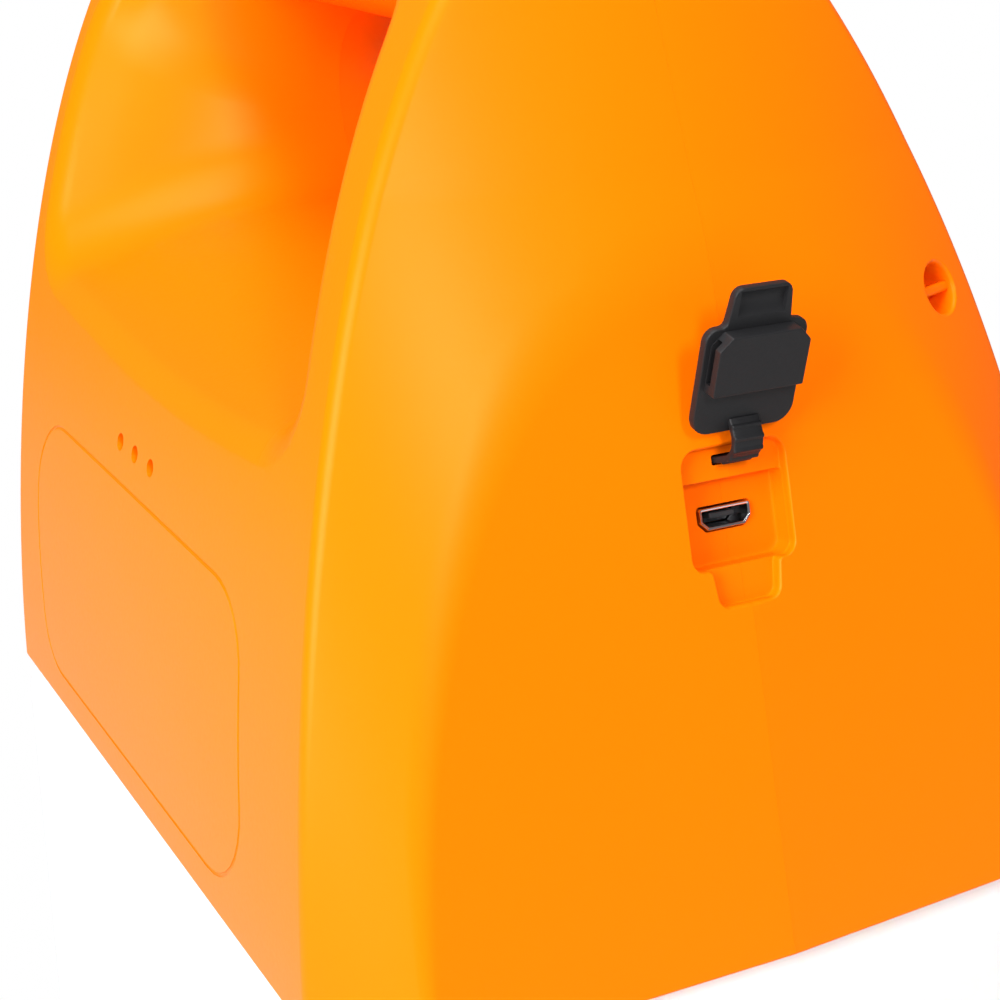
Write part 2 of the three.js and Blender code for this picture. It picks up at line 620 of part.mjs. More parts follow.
function batteryTray() {
  const wallTop = trayFloor + TRAY.wallHeight;
  const half = packHalfX + TRAY.wall;
  const reach = packHalfY + TRAY.wall;
  const outer = box([-half, CELL.y - reach, trayFloor], [half, CELL.y + reach, wallTop]);
  const room = box(
    [-packHalfX, CELL.y - packHalfY, trayFloor + TRAY.floor],
    [packHalfX, CELL.y + packHalfY, wallTop + 1],
  );
  const ribs = [];
  for (let i = 0; i + 1 < CELL.count; i++) {
    const x = (cellX(i) + cellX(i + 1)) / 2;
    const ribTop = trayFloor + TRAY.floor + 3;
    ribs.push(box([x - 2.5, CELL.y - 22, trayFloor + 0.5], [x + 2.5, CELL.y + 22, ribTop]));
  }
  const cells = [];
  for (let i = 0; i < CELL.count; i++) {
    const along = move(cellX(i), 0, cellAxis).multiply(new THREE.Matrix4().makeRotationX(-Math.PI / 2));
    cells.push(rod(CELL.radius + FIT, -BIG / 4, BIG / 4, along, ROUND));
  }
  const body = outer.subtract(room).add(join(ribs).subtract(join(cells)));
  return ["battery_tray", body, darkPlastic()];
}

function batteryCells() {
  return Array.from({ length: CELL.count }, (_, i) => {
    const lying = new THREE.Matrix4().makeRotationX(-Math.PI / 2);
    const along = move(cellX(i), CELL.y, cellAxis).multiply(lying);
    const half = CELL.length / 2;
    const r = CELL.radius;
    const profile = [[0, -half], [r - 0.8, -half], [r, -half + 0.8], [r, half - 2], [r - 1, half - 1.2]];
    profile.push([3, half - 1.2], [3, half], [0, half]);
    return [`battery_cell_${i + 1}`, turned(profile, along), cellWrap()];
  });
}

function cellLinks() {
  return [["front", -1], ["back", 1]].map(([name, side]) => {
    const inner = CELL.y + side * (CELL.length / 2 + FIT);
    const outer = inner + side * 0.6;
    const low = cellAxis - 3;
    const halfX = packHalfX - 4;
    const body = box([-halfX, Math.min(inner, outer), low], [halfX, Math.max(inner, outer), low + 6]);
    return [`cell_link_${name}`, body, nickel()];
  });
}

function batteryCover() {
  const half = packHalfX + TRAY.wall;
  const high = coverLow + BATTERY_COVER.thickness;
  const halfY = packHalfY + TRAY.wall;
  const skirtLow = trayFloor + TRAY.wallHeight + FIT;
  const pieces = [box([-half, CELL.y - halfY, coverLow], [half, CELL.y + halfY, high])];
  for (const side of [-1, 1]) {
    const inner = side * packHalfX;
    const outer = side * half;
    const [near, far] = [Math.min(inner, outer), Math.max(inner, outer)];
    pieces.push(box([near, CELL.y - halfY, skirtLow], [far, CELL.y + halfY, high]));
    for (const end of [-1, 1]) {
      const x = side * (MAIN_BOARD.x / 2 - 4);
      const y = CELL.y + end * (MAIN_BOARD.y / 2 - 4);
      const { postRadius, postHeight } = BATTERY_COVER;
      pieces.push(rod(postRadius, coverLow, high + postHeight, move(x, y, 0), 12));
    }
  }
  return ["battery_cover", join(pieces), darkPlastic()];
}

// ---- electronics --------------------------------------------------------------------------------
function mainBoard() {
  const { x, y } = MAIN_BOARD;
  const chip = (cx, cy, w, d, h) =>
    box([cx - w / 2, cy - d / 2, boardTop - 0.2], [cx + w / 2, cy + d / 2, boardTop + h]);
  const body = join([
    box([-x / 2, CELL.y - y / 2, boardLow], [x / 2, CELL.y + y / 2, boardTop]),
    chip(-8, CELL.y - 4, 9, 9, 1.4),
    chip(8, CELL.y + 8, 6, 5, 1.2),
    chip(20, CELL.y - 14, 6, 5, 1.2),
    chip(-24, CELL.y + 12, 5, 4, 1),
  ]);
  return ["main_board", body, circuitGreen()];
}

function driverCoil() {
  const at = move(-22, CELL.y - 12, boardTop + FIT);
  const profile = [[2, 0], [6, 0], [6.5, 0.8], [6.5, 5.2], [6, 6], [2, 6]];
  return ["driver_coil", turned(profile, at, 20), darkPlastic()];
}

function capacitors() {
  return [-5, 7].map((x, i) => {
    const at = move(x, CELL.y - 19, boardTop + FIT);
    return [`capacitor_${i + 1}`, rod(4, 0, 10, at, 16), aluminium()];
  });
}

function wireConnector() {
  const y = CELL.y + 22;
  const low = boardTop + FIT;
  return ["wire_connector", box([-12, y - 3, low], [12, y + 3, low + 6]), whiteBoard()];
}

function indicatorBoard() {
  const { y, z, boardX } = INDICATOR;
  const leds = y.map((each) => box([boardX + 0.8, each - 1, z - 1], [boardX + 2, each + 1, z + 1]));
  const plate = box([boardX - 0.6, y[0] - 6, boardLow + 2], [boardX + 1, y[2] + 6, z + 4]);
  return ["indicator_board", plate.add(join(leds)), circuitGreen()];
}

function lightGuides() {
  const { y, z, guide, boardX } = INDICATOR;
  const outer = halfWidthAt(z) - 1.4;
  return y.map((each, i) => [
    `indicator_window_${i + 1}`,
    rod(guide, boardX + 2 + FIT, outer, acrossAt(each, z), 12),
    darkRed(),
  ]);
}

// ---- charging port ------------------------------------------------------------------------------
// Port outline, wide side up.
function portShape(shrink) {
  const w = USB.width / 2 - shrink;
  const h = USB.height / 2 - shrink;
  const c = USB.chamfer;
  return new THREE.Shape([
    new THREE.Vector2(-w, h),
    new THREE.Vector2(-w, -h + c),
    new THREE.Vector2(-w + c, -h),
    new THREE.Vector2(w - c, -h),
    new THREE.Vector2(w, -h + c),
    new THREE.Vector2(w, h),
  ]);
}

function portPrism(shrink, low, high) {
  const geometry = new THREE.ExtrudeGeometry(portShape(shrink), { depth: high - low, bevelEnabled: false });
  return solid(geometry, portFrame.clone().multiply(move(0, 0, low)));
}

function usbPort() {
  const { front, length, wall, height } = USB;
  const back = front - length;
  const shell = portPrism(0, back, front).subtract(portPrism(wall, back - 1, front + 1));
  const gap = wall + 0.2;
  const tongue = box([-1.9, -0.1, back + 1], [1.9, 0.55, front - 0.8], portFrame);
  const insulator = portPrism(gap, back, back + 1.6).add(tongue);
  const boardHigh = -height / 2 - FIT;
  const boardFront = -POCKET_BLOCK.depth - 0.8;
  const board = box([-9, boardHigh - 1.2, boardFront - 13], [9, boardHigh, boardFront], portFrame);
  return [
    ["usb_shell", shell, steel()],
    ["usb_insulator", insulator, blackRubber()],
    ["port_board", board, circuitGreen()],
  ];
}

// Hinge line of the cover, and the turn that opens it about that line.
function coverTurn(angle) {
  const { v, n } = COVER_HINGE;
  const toHinge = portFrame.clone().multiply(move(0, v, n));
  const back = toHinge.clone().invert();
  const turn = new THREE.Matrix4().makeRotationX(THREE.MathUtils.degToRad(-angle));
  return toHinge.multiply(turn).multiply(back);
}

function portCover() {
  const { halfWidth, thickness } = COVER;
  const plateTop = POCKET.top - FIT;
  const plateBottom = POCKET.bottom + 0.7;
  const plugBottom = POCKET.bottom + 0.9;
  const tabHalf = NOTCH.halfWidth - FIT;
  const tabBottom = NOTCH.bottom + 0.5;
  const cut = 1.4;
  const outline = new THREE.Shape([
    new THREE.Vector2(halfWidth - cut, plateTop),
    new THREE.Vector2(-halfWidth + cut, plateTop),
    new THREE.Vector2(-halfWidth, plateTop - cut),
    new THREE.Vector2(-halfWidth, plateBottom + cut),
    new THREE.Vector2(-halfWidth + cut, plateBottom),
    new THREE.Vector2(-tabHalf, plateBottom),
    new THREE.Vector2(-tabHalf + 0.8, tabBottom),
    new THREE.Vector2(tabHalf - 0.8, tabBottom),
    new THREE.Vector2(tabHalf, plateBottom),
    new THREE.Vector2(halfWidth - cut, plateBottom),
    new THREE.Vector2(halfWidth, plateBottom + cut),
    new THREE.Vector2(halfWidth, plateTop - cut),
  ]);
  const plate = solid(
    new THREE.ExtrudeGeometry(outline, { depth: thickness, bevelEnabled: false }),
    portFrame.clone().multiply(move(0, 0, -thickness)),
  );
  const plugShape = new THREE.Shape([
    new THREE.Vector2(-PLUG.halfWidth, PLUG.top),
    new THREE.Vector2(-PLUG.halfWidth, plugBottom + PLUG.chamfer),
    new THREE.Vector2(-PLUG.halfWidth + PLUG.chamfer, plugBottom),
    new THREE.Vector2(PLUG.halfWidth - PLUG.chamfer, plugBottom),
    new THREE.Vector2(PLUG.halfWidth, plugBottom + PLUG.chamfer),
    new THREE.Vector2(PLUG.halfWidth, PLUG.top),
  ]);
  const plug = solid(
    new THREE.ExtrudeGeometry(plugShape, { depth: PLUG.depth + 0.4, bevelEnabled: false }),
    portFrame.clone().multiply(move(0, 0, -thickness - PLUG.depth)),
  );
  const shut = plate.add(plug);
  const opened = solid(geometryOf(shut), coverTurn(COVER_OPEN_DEG));
  return ["port_cover", opened, blackRubber()];
}

function coverStrap() {
  const { width, thickness, v, headWidth, headHeight, headDepth } = STRAP;
  const back = -POCKET_BLOCK.depth - FIT;
  const stem = box(
    [-width / 2, v - thickness / 2, back - 0.5],
    [width / 2, v + thickness / 2, -POCKET.ledgeDepth],
    portFrame,
  );
  const head = box(
    [-headWidth / 2, v - headHeight / 2, back - headDepth],
    [headWidth / 2, v + headHeight / 2, back],
    portFrame,
  );
  return ["cover_strap_anchor", stem.add(head), blackRubber()];
}

// ---- spotlight ----------------------------------------------------------------------------------
function spotlight() {
  const { lensRadius, lensThickness, bezelRadius } = SPOT;
  const seat = lensRadius + FIT;
  const lensTop = 0.4;
  const lensLow = lensTop - lensThickness;
  const bezel = turned(
    [
      [spotBarrel, -9],
      [spotBarrel, FIT],
      [bezelRadius, FIT],
      [bezelRadius, 1.6],
      [bezelRadius - 0.8, 2.4],
      [lensRadius - 0.6, 2.4],
      [lensRadius - 1.6, lensTop + FIT],
      [seat, lensTop + FIT],
      [seat, -9],
    ],
    spotFrame,
    WHEEL,
  );
  const lens = rod(lensRadius, lensLow, lensTop, spotFrame, WHEEL);
  const gasketMiddle = lensLow - FIT - 0.8;
  const gasketLow = gasketMiddle - 0.8;
  const gasket = ring(lensRadius - 1.6, lensRadius, gasketLow, gasketMiddle + 0.8, spotFrame, WHEEL);
  const rim = gasketLow - FIT;
  const neck = rim - REFLECTOR.depth;
  const profile = [];
  const widening = lensRadius - REFLECTOR.rimWidth - REFLECTOR.neck;
  for (let i = 0; i <= REFLECTOR.steps; i++) {
    const share = i / REFLECTOR.steps;
    profile.push([REFLECTOR.neck + widening * Math.sqrt(share), neck + REFLECTOR.depth * share]);
  }
  const outside = profile.map(([r, h]) => [r + REFLECTOR.wall, h]).reverse();
  const flange = [[lensRadius, rim], [lensRadius, rim - REFLECTOR.wall]];
  const reflector = turned([...profile, ...flange, ...outside.slice(1)], spotFrame, WHEEL);
  const boardTopHere = neck - FIT;
  const { base, radius, thickness } = SPOT_LED;
  const domeShape = [[0, 0], [radius, 0], [radius, 1.4], [1.2, 2.4], [0, 2.7]];
  const dome = domeShape.map(([r, h]) => [r, boardTopHere + h]);
  const star = rod(SPOT_LED.board, boardTopHere - thickness, boardTopHere, spotFrame)
    .add(box([-base, -base, boardTopHere - 0.2], [base, base, boardTopHere + 1], spotFrame))
    .add(turned(dome, spotFrame, 16));
  const sinkTop = boardTopHere - thickness - FIT;
  const sinkLow = sinkTop - HEAT_SINK.thickness;
  const slotTop = sinkTop - HEAT_SINK.face;
  const half = HEAT_SINK.slot / 2;
  const end = HEAT_SINK.radius + 1;
  const slots = HEAT_SINK.slots.map((x) =>
    box([x - half, -end, sinkLow - 1], [x + half, end, slotTop], spotFrame),
  );
  const sink = rod(HEAT_SINK.radius, sinkLow, sinkTop, spotFrame).subtract(join(slots));
  const nutHigh = -SHELL_WALL - FIT - 1;
  const nut = ring(spotBarrel + FIT, spotBarrel + 2.4, nutHigh - 2.4, nutHigh, spotFrame, WHEEL);
  return [
    ["spotlight_bezel", bezel, darkPlastic()],
    ["spotlight_lens", lens, clear()],
    ["spotlight_gasket", gasket, blackRubber()],
    ["spotlight_reflector", reflector, mirrorCoat()],
    ["spotlight_led_board", star, whiteBoard()],
    ["spotlight_heat_sink", sink, aluminium()],
    ["spotlight_lock_ring", nut, darkPlastic()],
  ];
}

// ---- power button -------------------------------------------------------------------------------
function powerButton() {
  const { radius, flange, proud, travel } = BUTTON;
  const underWall = -SHELL_WALL - 2.4;
  const cap = turned(
    [
      [0, underWall - 3.2],
      [1.8, underWall - 3.2],
      [1.8, underWall - 1.2],
      [flange, underWall - 1.2],
      [flange, underWall],
      [radius, underWall],
      [radius, proud - 1.4],
      [radius - 0.8, proud - 0.4],
      [radius - 2.4, proud],
      [0, proud],
    ],
    buttonFrame,
  );
  const plungerTop = underWall - 3.2 - FIT;
  const plunger = rod(1.5, plungerTop - 2.4, plungerTop, buttonFrame, 16);
  const caseTop = plungerTop - travel - FIT;
  const caseLow = caseTop - 3.4;
  const well = rod(1.5 + FIT, caseTop - 2.8, caseTop + 1, buttonFrame, 16);
  const housing = box([-3, -3, caseLow], [3, 3, caseTop], buttonFrame).subtract(well);
  const board = box([-7, -10, caseLow - FIT - 1.6], [7, 10, caseLow - FIT], buttonFrame);
  return [
    ["power_button", cap, blackRubber()],
    ["switch_plunger", plunger, whiteBoard()],
    ["switch_body", housing, darkPlastic()],
    ["switch_board", board, circuitGreen()],
  ];
}

// ---- screws through the shell -------------------------------------------------------------------
function shellScrews() {
  const { radius, head, headHeight, grip } = SHELL_SCREW;
  return SHELL_SCREWS.map((screw) => {
    const across = acrossAt(screw.y, screw.z);
    const under = -screw.seat - FIT;
    const driver = box([-1.6, -0.5, under - headHeight - 1], [1.6, 0.5, under - headHeight + 0.9], across)
      .add(box([-0.5, -1.6, under - headHeight - 1], [0.5, 1.6, under - headHeight + 0.9], across));
    const top = under - headHeight;
    const profile = [[0, grip], [0, top], [head - 0.6, top], [head, top + 0.8], [head, under]];
    profile.push([radius, under], [radius, grip - 1.5]);
    return [`shell_screw_${screw.name}`, turned(profile, across, 12).subtract(driver), steel()];
  });
}

// ---- leads --------------------------------------------------------------------------------------
function lead(name, points, colour) {
  const path = new THREE.CatmullRomCurve3(points.map((p) => new THREE.Vector3(...p)), false, "centripetal");
  const sides = 6;
  const radius = 0.9;
  const section = new THREE.Shape(
    Array.from({ length: sides }, (_, i) => {
      const angle = (2 * Math.PI * i) / sides;
      return new THREE.Vector2(radius * Math.cos(angle), radius * Math.sin(angle));
    }),
  );
  const steps = 4 * (points.length - 1);
  const body = solid(new THREE.ExtrudeGeometry(section, { steps, bevelEnabled: false, extrudePath: path }));
  return [name, body, colour];
}

function leads() {
  const plug = boardTop + FIT + 6 + FIT + 0.9;
  const connectorY = CELL.y + 22;
  const linkY = CELL.length / 2 + 3;
  const linkEnd = CELL.y + linkY;
  const spot = new THREE.Vector3(0, 11.4, -30).applyMatrix4(spotFrame);
  const port = new THREE.Vector3(0, -4.6, -19).applyMatrix4(portFrame);
  const switchEnd = new THREE.Vector3(5, -10.6, -15.4).applyMatrix4(buttonFrame);
  return [
    lead(
      "battery_lead_red",
      [
        [-6, connectorY, plug],
        [-6, connectorY + 12, plug],
        [-8, linkEnd + 6, cellAxis + 12],
        [-8, linkEnd, cellAxis + 1],
      ],
      redWire(),
    ),
    lead(
      "battery_lead_black",
      [
        [-2, connectorY, plug],
        [-2, connectorY + 12, plug],
        [2, linkEnd + 6, cellAxis + 12],
        [2, linkEnd, cellAxis + 1],
      ],
      blackWire(),
    ),
    lead(
      "spotlight_lead",
      [
        [10, connectorY - 4.2, plug - 2],
        [14, CELL.y, plug + 3],
        [12, CELL.y - 24, plug + 2],
        [6, spot.y + 9, spot.z + 8],
        [6, spot.y + 3, spot.z + 2.5],
      ],
      redWire(),
    ),
    lead(
      "switch_lead",
      [
        [switchEnd.x, switchEnd.y, switchEnd.z],
        [5, -79, 108],
        [5, -75, 88],
        [-4, -67, 68],
        [-17, -45, plug + 9],
        [-16, -20, plug + 5],
        [-10, connectorY - 2, plug],
      ],
      blackWire(),
    ),
    lead(
      "port_lead",
      [
        [8, connectorY + 0.5, plug],
        [8, connectorY + 10, plug + 2],
        [6, port.y - 5, port.z - 2],
        [4, port.y, port.z],
      ],
      blackWire(),
    ),
  ];
}

// ---- the whole lamp -----------------------------------------------------------------------------
const pieces = [
  shellHalf(1),
  shellHalf(-1),
  diffuser(),
  diffuserGasket(),
  ...feet(),
  chassisPlate(),
  ...chassisScrews(),
  ledPanel(),
  batteryTray(),
  ...batteryCells(),
  ...cellLinks(),
  batteryCover(),
  mainBoard(),
  driverCoil(),
  ...capacitors(),
  wireConnector(),
  indicatorBoard(),
  ...lightGuides(),
  ...usbPort(),
  portCover(),
  coverStrap(),
  ...spotlight(),
  ...powerButton(),
  ...shellScrews(),
  ...leads(),
];

const lamp = new THREE.Group();
lamp.name = "hand_lamp";
for (const [name, body, colour] of pieces) {
  const mesh = new THREE.Mesh(geometryOf(body), colour);
  mesh.name = name;
  lamp.add(mesh);
}

// Stand the lamp on its feet, with its origin at the centre of its footprint.
const extent = new THREE.Box3().setFromObject(lamp);
lamp.position.set(0, -(extent.min.y + extent.max.y) / 2, -extent.min.z);

export default lamp;
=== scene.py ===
import math

import bpy
from mathutils import Matrix, Vector


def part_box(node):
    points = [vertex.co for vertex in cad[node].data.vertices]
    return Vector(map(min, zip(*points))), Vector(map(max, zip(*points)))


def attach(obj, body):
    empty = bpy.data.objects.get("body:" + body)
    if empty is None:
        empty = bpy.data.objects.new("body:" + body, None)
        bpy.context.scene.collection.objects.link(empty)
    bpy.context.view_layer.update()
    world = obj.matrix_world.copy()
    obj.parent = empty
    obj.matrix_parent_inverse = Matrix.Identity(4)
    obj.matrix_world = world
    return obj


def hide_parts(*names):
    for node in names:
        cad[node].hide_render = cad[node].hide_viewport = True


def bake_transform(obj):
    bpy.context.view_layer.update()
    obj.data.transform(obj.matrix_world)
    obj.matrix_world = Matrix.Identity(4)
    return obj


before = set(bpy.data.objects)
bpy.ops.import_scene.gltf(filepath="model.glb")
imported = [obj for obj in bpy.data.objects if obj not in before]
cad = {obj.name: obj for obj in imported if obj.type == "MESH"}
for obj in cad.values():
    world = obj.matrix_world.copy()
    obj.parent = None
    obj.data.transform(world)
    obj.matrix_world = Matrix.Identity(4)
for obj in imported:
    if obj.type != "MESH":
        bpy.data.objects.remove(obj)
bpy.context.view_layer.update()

# Feet: four black rubber discs, moulded with a small chamfer underneath and glued
# into shallow round recesses in the floor of the light box.
MM = 0.001
FOOT_RADIUS = 7.0
FOOT_HEIGHT = 2.6
FOOT_CHAMFER = 0.8


def alone():
    """Nothing is left selected, so the next operator works on the next primitive only."""
    if bpy.context.object and bpy.context.object.mode != "OBJECT":
        bpy.ops.object.mode_set(mode="OBJECT")
    bpy.ops.object.select_all(action="DESELECT")


def pick(piece):
    alone()
    piece.select_set(True)
    bpy.context.view_layer.objects.active = piece


def turn(name, profile, place, sides=96):
    """A turned piece: a circle is extruded and widened from one (radius, height) in mm to the next."""
    alone()
    radius, height = profile[0]
    bpy.ops.mesh.primitive_circle_add(vertices=sides, radius=radius, location=(0, 0, 0))
    piece = bpy.context.object
    piece.name = name
    bpy.ops.object.mode_set(mode="EDIT")
    bpy.ops.mesh.select_all(action="SELECT")
    bpy.ops.transform.translate(value=(0, 0, height))
    for wider, higher in profile[1:]:
        bpy.ops.mesh.extrude_region_move(TRANSFORM_OT_translate={"value": (0, 0, higher - height)})
        bpy.ops.transform.resize(value=(wider / radius, wider / radius, 1), center_override=(0, 0, higher))
        radius, height = wider, higher
    close_up(1e-3)
    piece.data.transform(place @ Matrix.Scale(MM, 4))
    return piece


def close_up(doubles):
    """Merges doubles, fills what is open and turns all faces outwards."""
    bpy.ops.mesh.select_all(action="SELECT")
    bpy.ops.mesh.remove_doubles(threshold=doubles)
    bpy.ops.mesh.fill_holes(sides=0)
    bpy.ops.mesh.select_all(action="SELECT")
    bpy.ops.mesh.normals_make_consistent(inside=False)
    bpy.ops.object.mode_set(mode="OBJECT")


def smooth(piece, angle=30):
    pick(piece)
    bpy.ops.object.shade_smooth_by_angle(angle=math.radians(angle))
    even = piece.modifiers.new("even_normals", "WEIGHTED_NORMAL")
    even.keep_sharp = True
    bpy.ops.object.modifier_apply(modifier=even.name)


def moulded(name, colour, gloss, grain=0.02, grain_size=2500, drift=0.05, specular=0.5):
    """Moulded finish: fine grain in the surface, and slow drifts of shade and gloss."""
    finish = bpy.data.materials.new(name)
    finish.use_nodes = True
    nodes, links = finish.node_tree.nodes, finish.node_tree.links
    shader = nodes["Principled BSDF"]
    shader.inputs["Specular IOR Level"].default_value = specular
    place = nodes.new("ShaderNodeTexCoord")
    fine = nodes.new("ShaderNodeTexNoise")
    fine.inputs["Scale"].default_value = grain_size
    fine.inputs["Detail"].default_value = 3
    slow = nodes.new("ShaderNodeTexNoise")
    slow.inputs["Scale"].default_value = 26
    slow.inputs["Detail"].default_value = 4
    shade = nodes.new("ShaderNodeMapRange")
    shade.inputs["To Min"].default_value = 1 - drift
    shade.inputs["To Max"].default_value = 1 + drift
    tint = nodes.new("ShaderNodeVectorMath")
    tint.operation = "SCALE"
    tint.inputs[0].default_value = colour
    sheen = nodes.new("ShaderNodeMapRange")
    sheen.inputs["To Min"].default_value = gloss * 0.88
    sheen.inputs["To Max"].default_value = gloss * 1.12
    bump = nodes.new("ShaderNodeBump")
    bump.inputs["Strength"].default_value = 0.6
    bump.inputs["Distance"].default_value = grain * MM
    for noise in (fine, slow):
        links.new(place.outputs["Object"], noise.inputs["Vector"])
    links.new(slow.outputs["Fac"], shade.inputs["Value"])
    links.new(shade.outputs["Result"], tint.inputs["Scale"])
    links.new(tint.outputs["Vector"], shader.inputs["Base Color"])
    links.new(fine.outputs["Fac"], sheen.inputs["Value"])
    links.new(sheen.outputs["Result"], shader.inputs["Roughness"])
    links.new(fine.outputs["Fac"], bump.inputs["Height"])
    links.new(bump.outputs["Normal"], shader.inputs["Normal"])
    return finish


def dress(piece, finish):
    piece.data.materials.clear()
    piece.data.materials.append(finish)


def fit(piece, finish, body, slot, *stands_for, angle=30):
    """Last steps of a new piece: finish, shading, body, and the CAD nodes it stands for; slot is not used.
    """
    dress(piece, finish)
    smooth(piece, angle)
    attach(piece, body)
    if stands_for:
        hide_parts(*stands_for)


rubber = moulded(
    "black_rubber", (0.011, 0.011, 0.012), 0.5, grain=0.03, grain_size=1800, drift=0.12, specular=0.2
)
for number in (1, 2, 3, 4):
    low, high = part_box(f"foot_{number}")
    foot = turn(
        f"rubber_foot_{number}",
        [
            (FOOT_RADIUS - 2.2, 0.5),
            (FOOT_RADIUS - 2.4, 0.0),
            (FOOT_RADIUS - FOOT_CHAMFER, 0.0),
            (FOOT_RADIUS - 0.2, 0.25),
            (FOOT_RADIUS, FOOT_CHAMFER),
            (FOOT_RADIUS, FOOT_HEIGHT),
        ],
        Matrix.Translation(((low.x + high.x) / 2, (low.y + high.y) / 2, low.z)),
    )
    fit(foot, rubber, "lamp", "black_rubber", f"foot_{number}")

# Light box: a white frosted box, blown in one piece with round vertical corners, a round
# bottom edge and a soft shoulder that tucks under the shell.
ARCH_HALF_WIDTH = 60.3
ARCH_HEIGHT = 135.0
ARCH_ROUNDNESS = 1.75
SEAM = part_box("shell_left")[0].z
MIDDLE = (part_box("foot_1")[0].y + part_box("foot_3")[1].y) / 2
FACE_RIDGE = 0.032
EDGE_SOFTNESS = 1.1
CORNER_ROUND = 2.4
BOX_TOP = -0.4
BOX_BOTTOM = -78.4
BOX_WALL = 2.4
SHOULDER = (3.0, 6.0)
BOTTOM_ROUND = 7.0
SPIGOT_INSET = 4.2
SPIGOT_TOP = 3.8


def at(x, y, z):
    """A place on the lamp: mm from the middle of the seam, to metres in the frame."""
    return Vector((x * MM, MIDDLE + y * MM, SEAM + z * MM))


def reach(z, inset=0.0):
    """Half width of the arch at a height."""
    share = min(1.0, max(0.0, z) / (ARCH_HEIGHT - inset))
    return (ARCH_HALF_WIDTH - inset) * (1 - share**ARCH_ROUNDNESS) ** (1 / ARCH_ROUNDNESS)


def end_sizes(z, inset, back):
    """Centre and radius of the round end, and distance to its flat face, at a height."""
    high = max(0.0, z)
    if back:
        radius = 71.6 + 0.505 * high + 0.055 * max(0.0, high - 93)
        return 21.2 - 1.02 * high, radius - inset, 74.2 - 0.293 * high - inset
    return 21.2, 71.6 - inset, 74.2 + 0.14 * high - inset


def spread(low, high, count):
    return [low + (high - low) * i / count for i in range(count)]


def quarter(z, inset, back):
    """Outline of a quarter of the lamp, from the middle of its end to the middle of its side."""
    centre, radius, face = end_sizes(z, inset, back)
    half = max(reach(z, inset), 0.3)
    corner = min(CORNER_ROUND, 0.4 * half)
    flank = centre + math.sqrt((radius - corner) ** 2 - (half - corner) ** 2)
    angle = math.atan2(half - corner, flank - centre)
    last = radius * math.sin(angle)
    edge = 0.0
    for _ in range(4):
        edge = math.sqrt(max(0.0, radius**2 - (face - FACE_RIDGE * edge - centre) ** 2))
    turning = max(0.15, edge / math.sqrt(radius**2 - edge**2) if edge < radius else 1)
    edge = min(max(edge, 0.28 * half), 0.82 * last)
    zone = min(EDGE_SOFTNESS / turning * 1.15, 0.45 * edge, 0.45 * (last - edge))
    xs = (
        spread(0, edge - zone, 8)
        + spread(edge - zone, edge + zone, 10)
        + spread(edge + zone, last, 9)
        + [last]
    )
    points = []
    for x in xs:
        flat = face - FACE_RIDGE * x
        arc = centre + math.sqrt(radius**2 - x**2)
        near = max(EDGE_SOFTNESS - abs(flat - arc), 0) / EDGE_SOFTNESS
        points.append((x, min(flat, arc) - near * near * EDGE_SOFTNESS / 4))
    for i in range(1, 7):
        swing = angle + (math.pi / 2 - angle) * i / 6
        points.append((half - corner + corner * math.sin(swing), flank + corner * math.cos(swing)))
    return points + [(half, flank * (1 - i / 12)) for i in range(1, 13)]


def outline(z, inset=0.0):
    """Outline of the whole lamp at a height, once round from the middle of the back."""
    back, front = quarter(z, inset, True), quarter(z, inset, False)
    ring = list(back) + [(x, -v) for x, v in reversed(front[:-1])]
    ring += [(-x, -v) for x, v in front[1:]] + [(-x, v) for x, v in reversed(back[1:-1])]
    return [at(x, y, z) for x, y in ring]


def wrap(name, rings, joined=False):
    """A skin: a grid is rolled round, its rows laid on rings of points, and its ends filled."""
    alone()
    across, along = len(rings[0]), len(rings) - (0 if joined else 1)
    bpy.ops.mesh.primitive_grid_add(x_subdivisions=across, y_subdivisions=along, size=1)
    piece = bpy.context.object
    piece.name = name
    places = []
    for row in rings + ([rings[0]] if joined else []):
        for point in row + [row[0]]:
            places.extend(point)
    piece.data.vertices.foreach_set("co", places)
    bpy.ops.object.mode_set(mode="EDIT")
    close_up(2e-6)
    return piece


def carve(piece, cutter, operation="DIFFERENCE"):
    """Cuts one piece by another, or joins them, and takes the tool away."""
    pick(piece)
    tool = piece.modifiers.new("carve", "BOOLEAN")
    tool.operation = operation
    tool.solver = "EXACT"
    tool.object = cutter
    bpy.ops.object.modifier_apply(modifier=tool.name)
    bpy.data.objects.remove(cutter)


def quarter_round(count):
    return [math.pi / 2 * i / count for i in range(count + 1)]


floor_levels = [
    (BOX_BOTTOM + BOTTOM_ROUND * (1 - math.sin(a)), 0.2 + BOTTOM_ROUND * (1 - math.cos(a)))
    for a in reversed(quarter_round(10))
]
wall_levels = [(BOX_BOTTOM + BOTTOM_ROUND + 8 * i, 0.2) for i in range(1, 8)]
shoulder_levels = [
    (BOX_TOP - SHOULDER[1] * (1 - math.sin(a)), 0.2 + SHOULDER[0] * (1 - math.cos(a)))
    for a in quarter_round(10)
]
rim_levels = [(BOX_TOP, SPIGOT_INSET), (SPIGOT_TOP, SPIGOT_INSET)]
light_box = wrap(
    "light_box",
    [outline(z, inset) for z, inset in floor_levels + wall_levels + shoulder_levels + rim_levels],
)
inside = [
    (BOX_BOTTOM + BOX_WALL, BOTTOM_ROUND),
    (BOX_BOTTOM + BOX_WALL + 2, BOTTOM_ROUND / 2),
    (BOX_BOTTOM + BOTTOM_ROUND + BOX_WALL, BOX_WALL + 0.2),
    (BOX_TOP - SHOULDER[1], BOX_WALL + 0.2),
    (BOX_TOP - BOX_WALL, SPIGOT_INSET + 2),
    (SPIGOT_TOP + 5, SPIGOT_INSET + 2),
]
carve(light_box, wrap("box_room", [outline(z, inset) for z, inset in inside]))
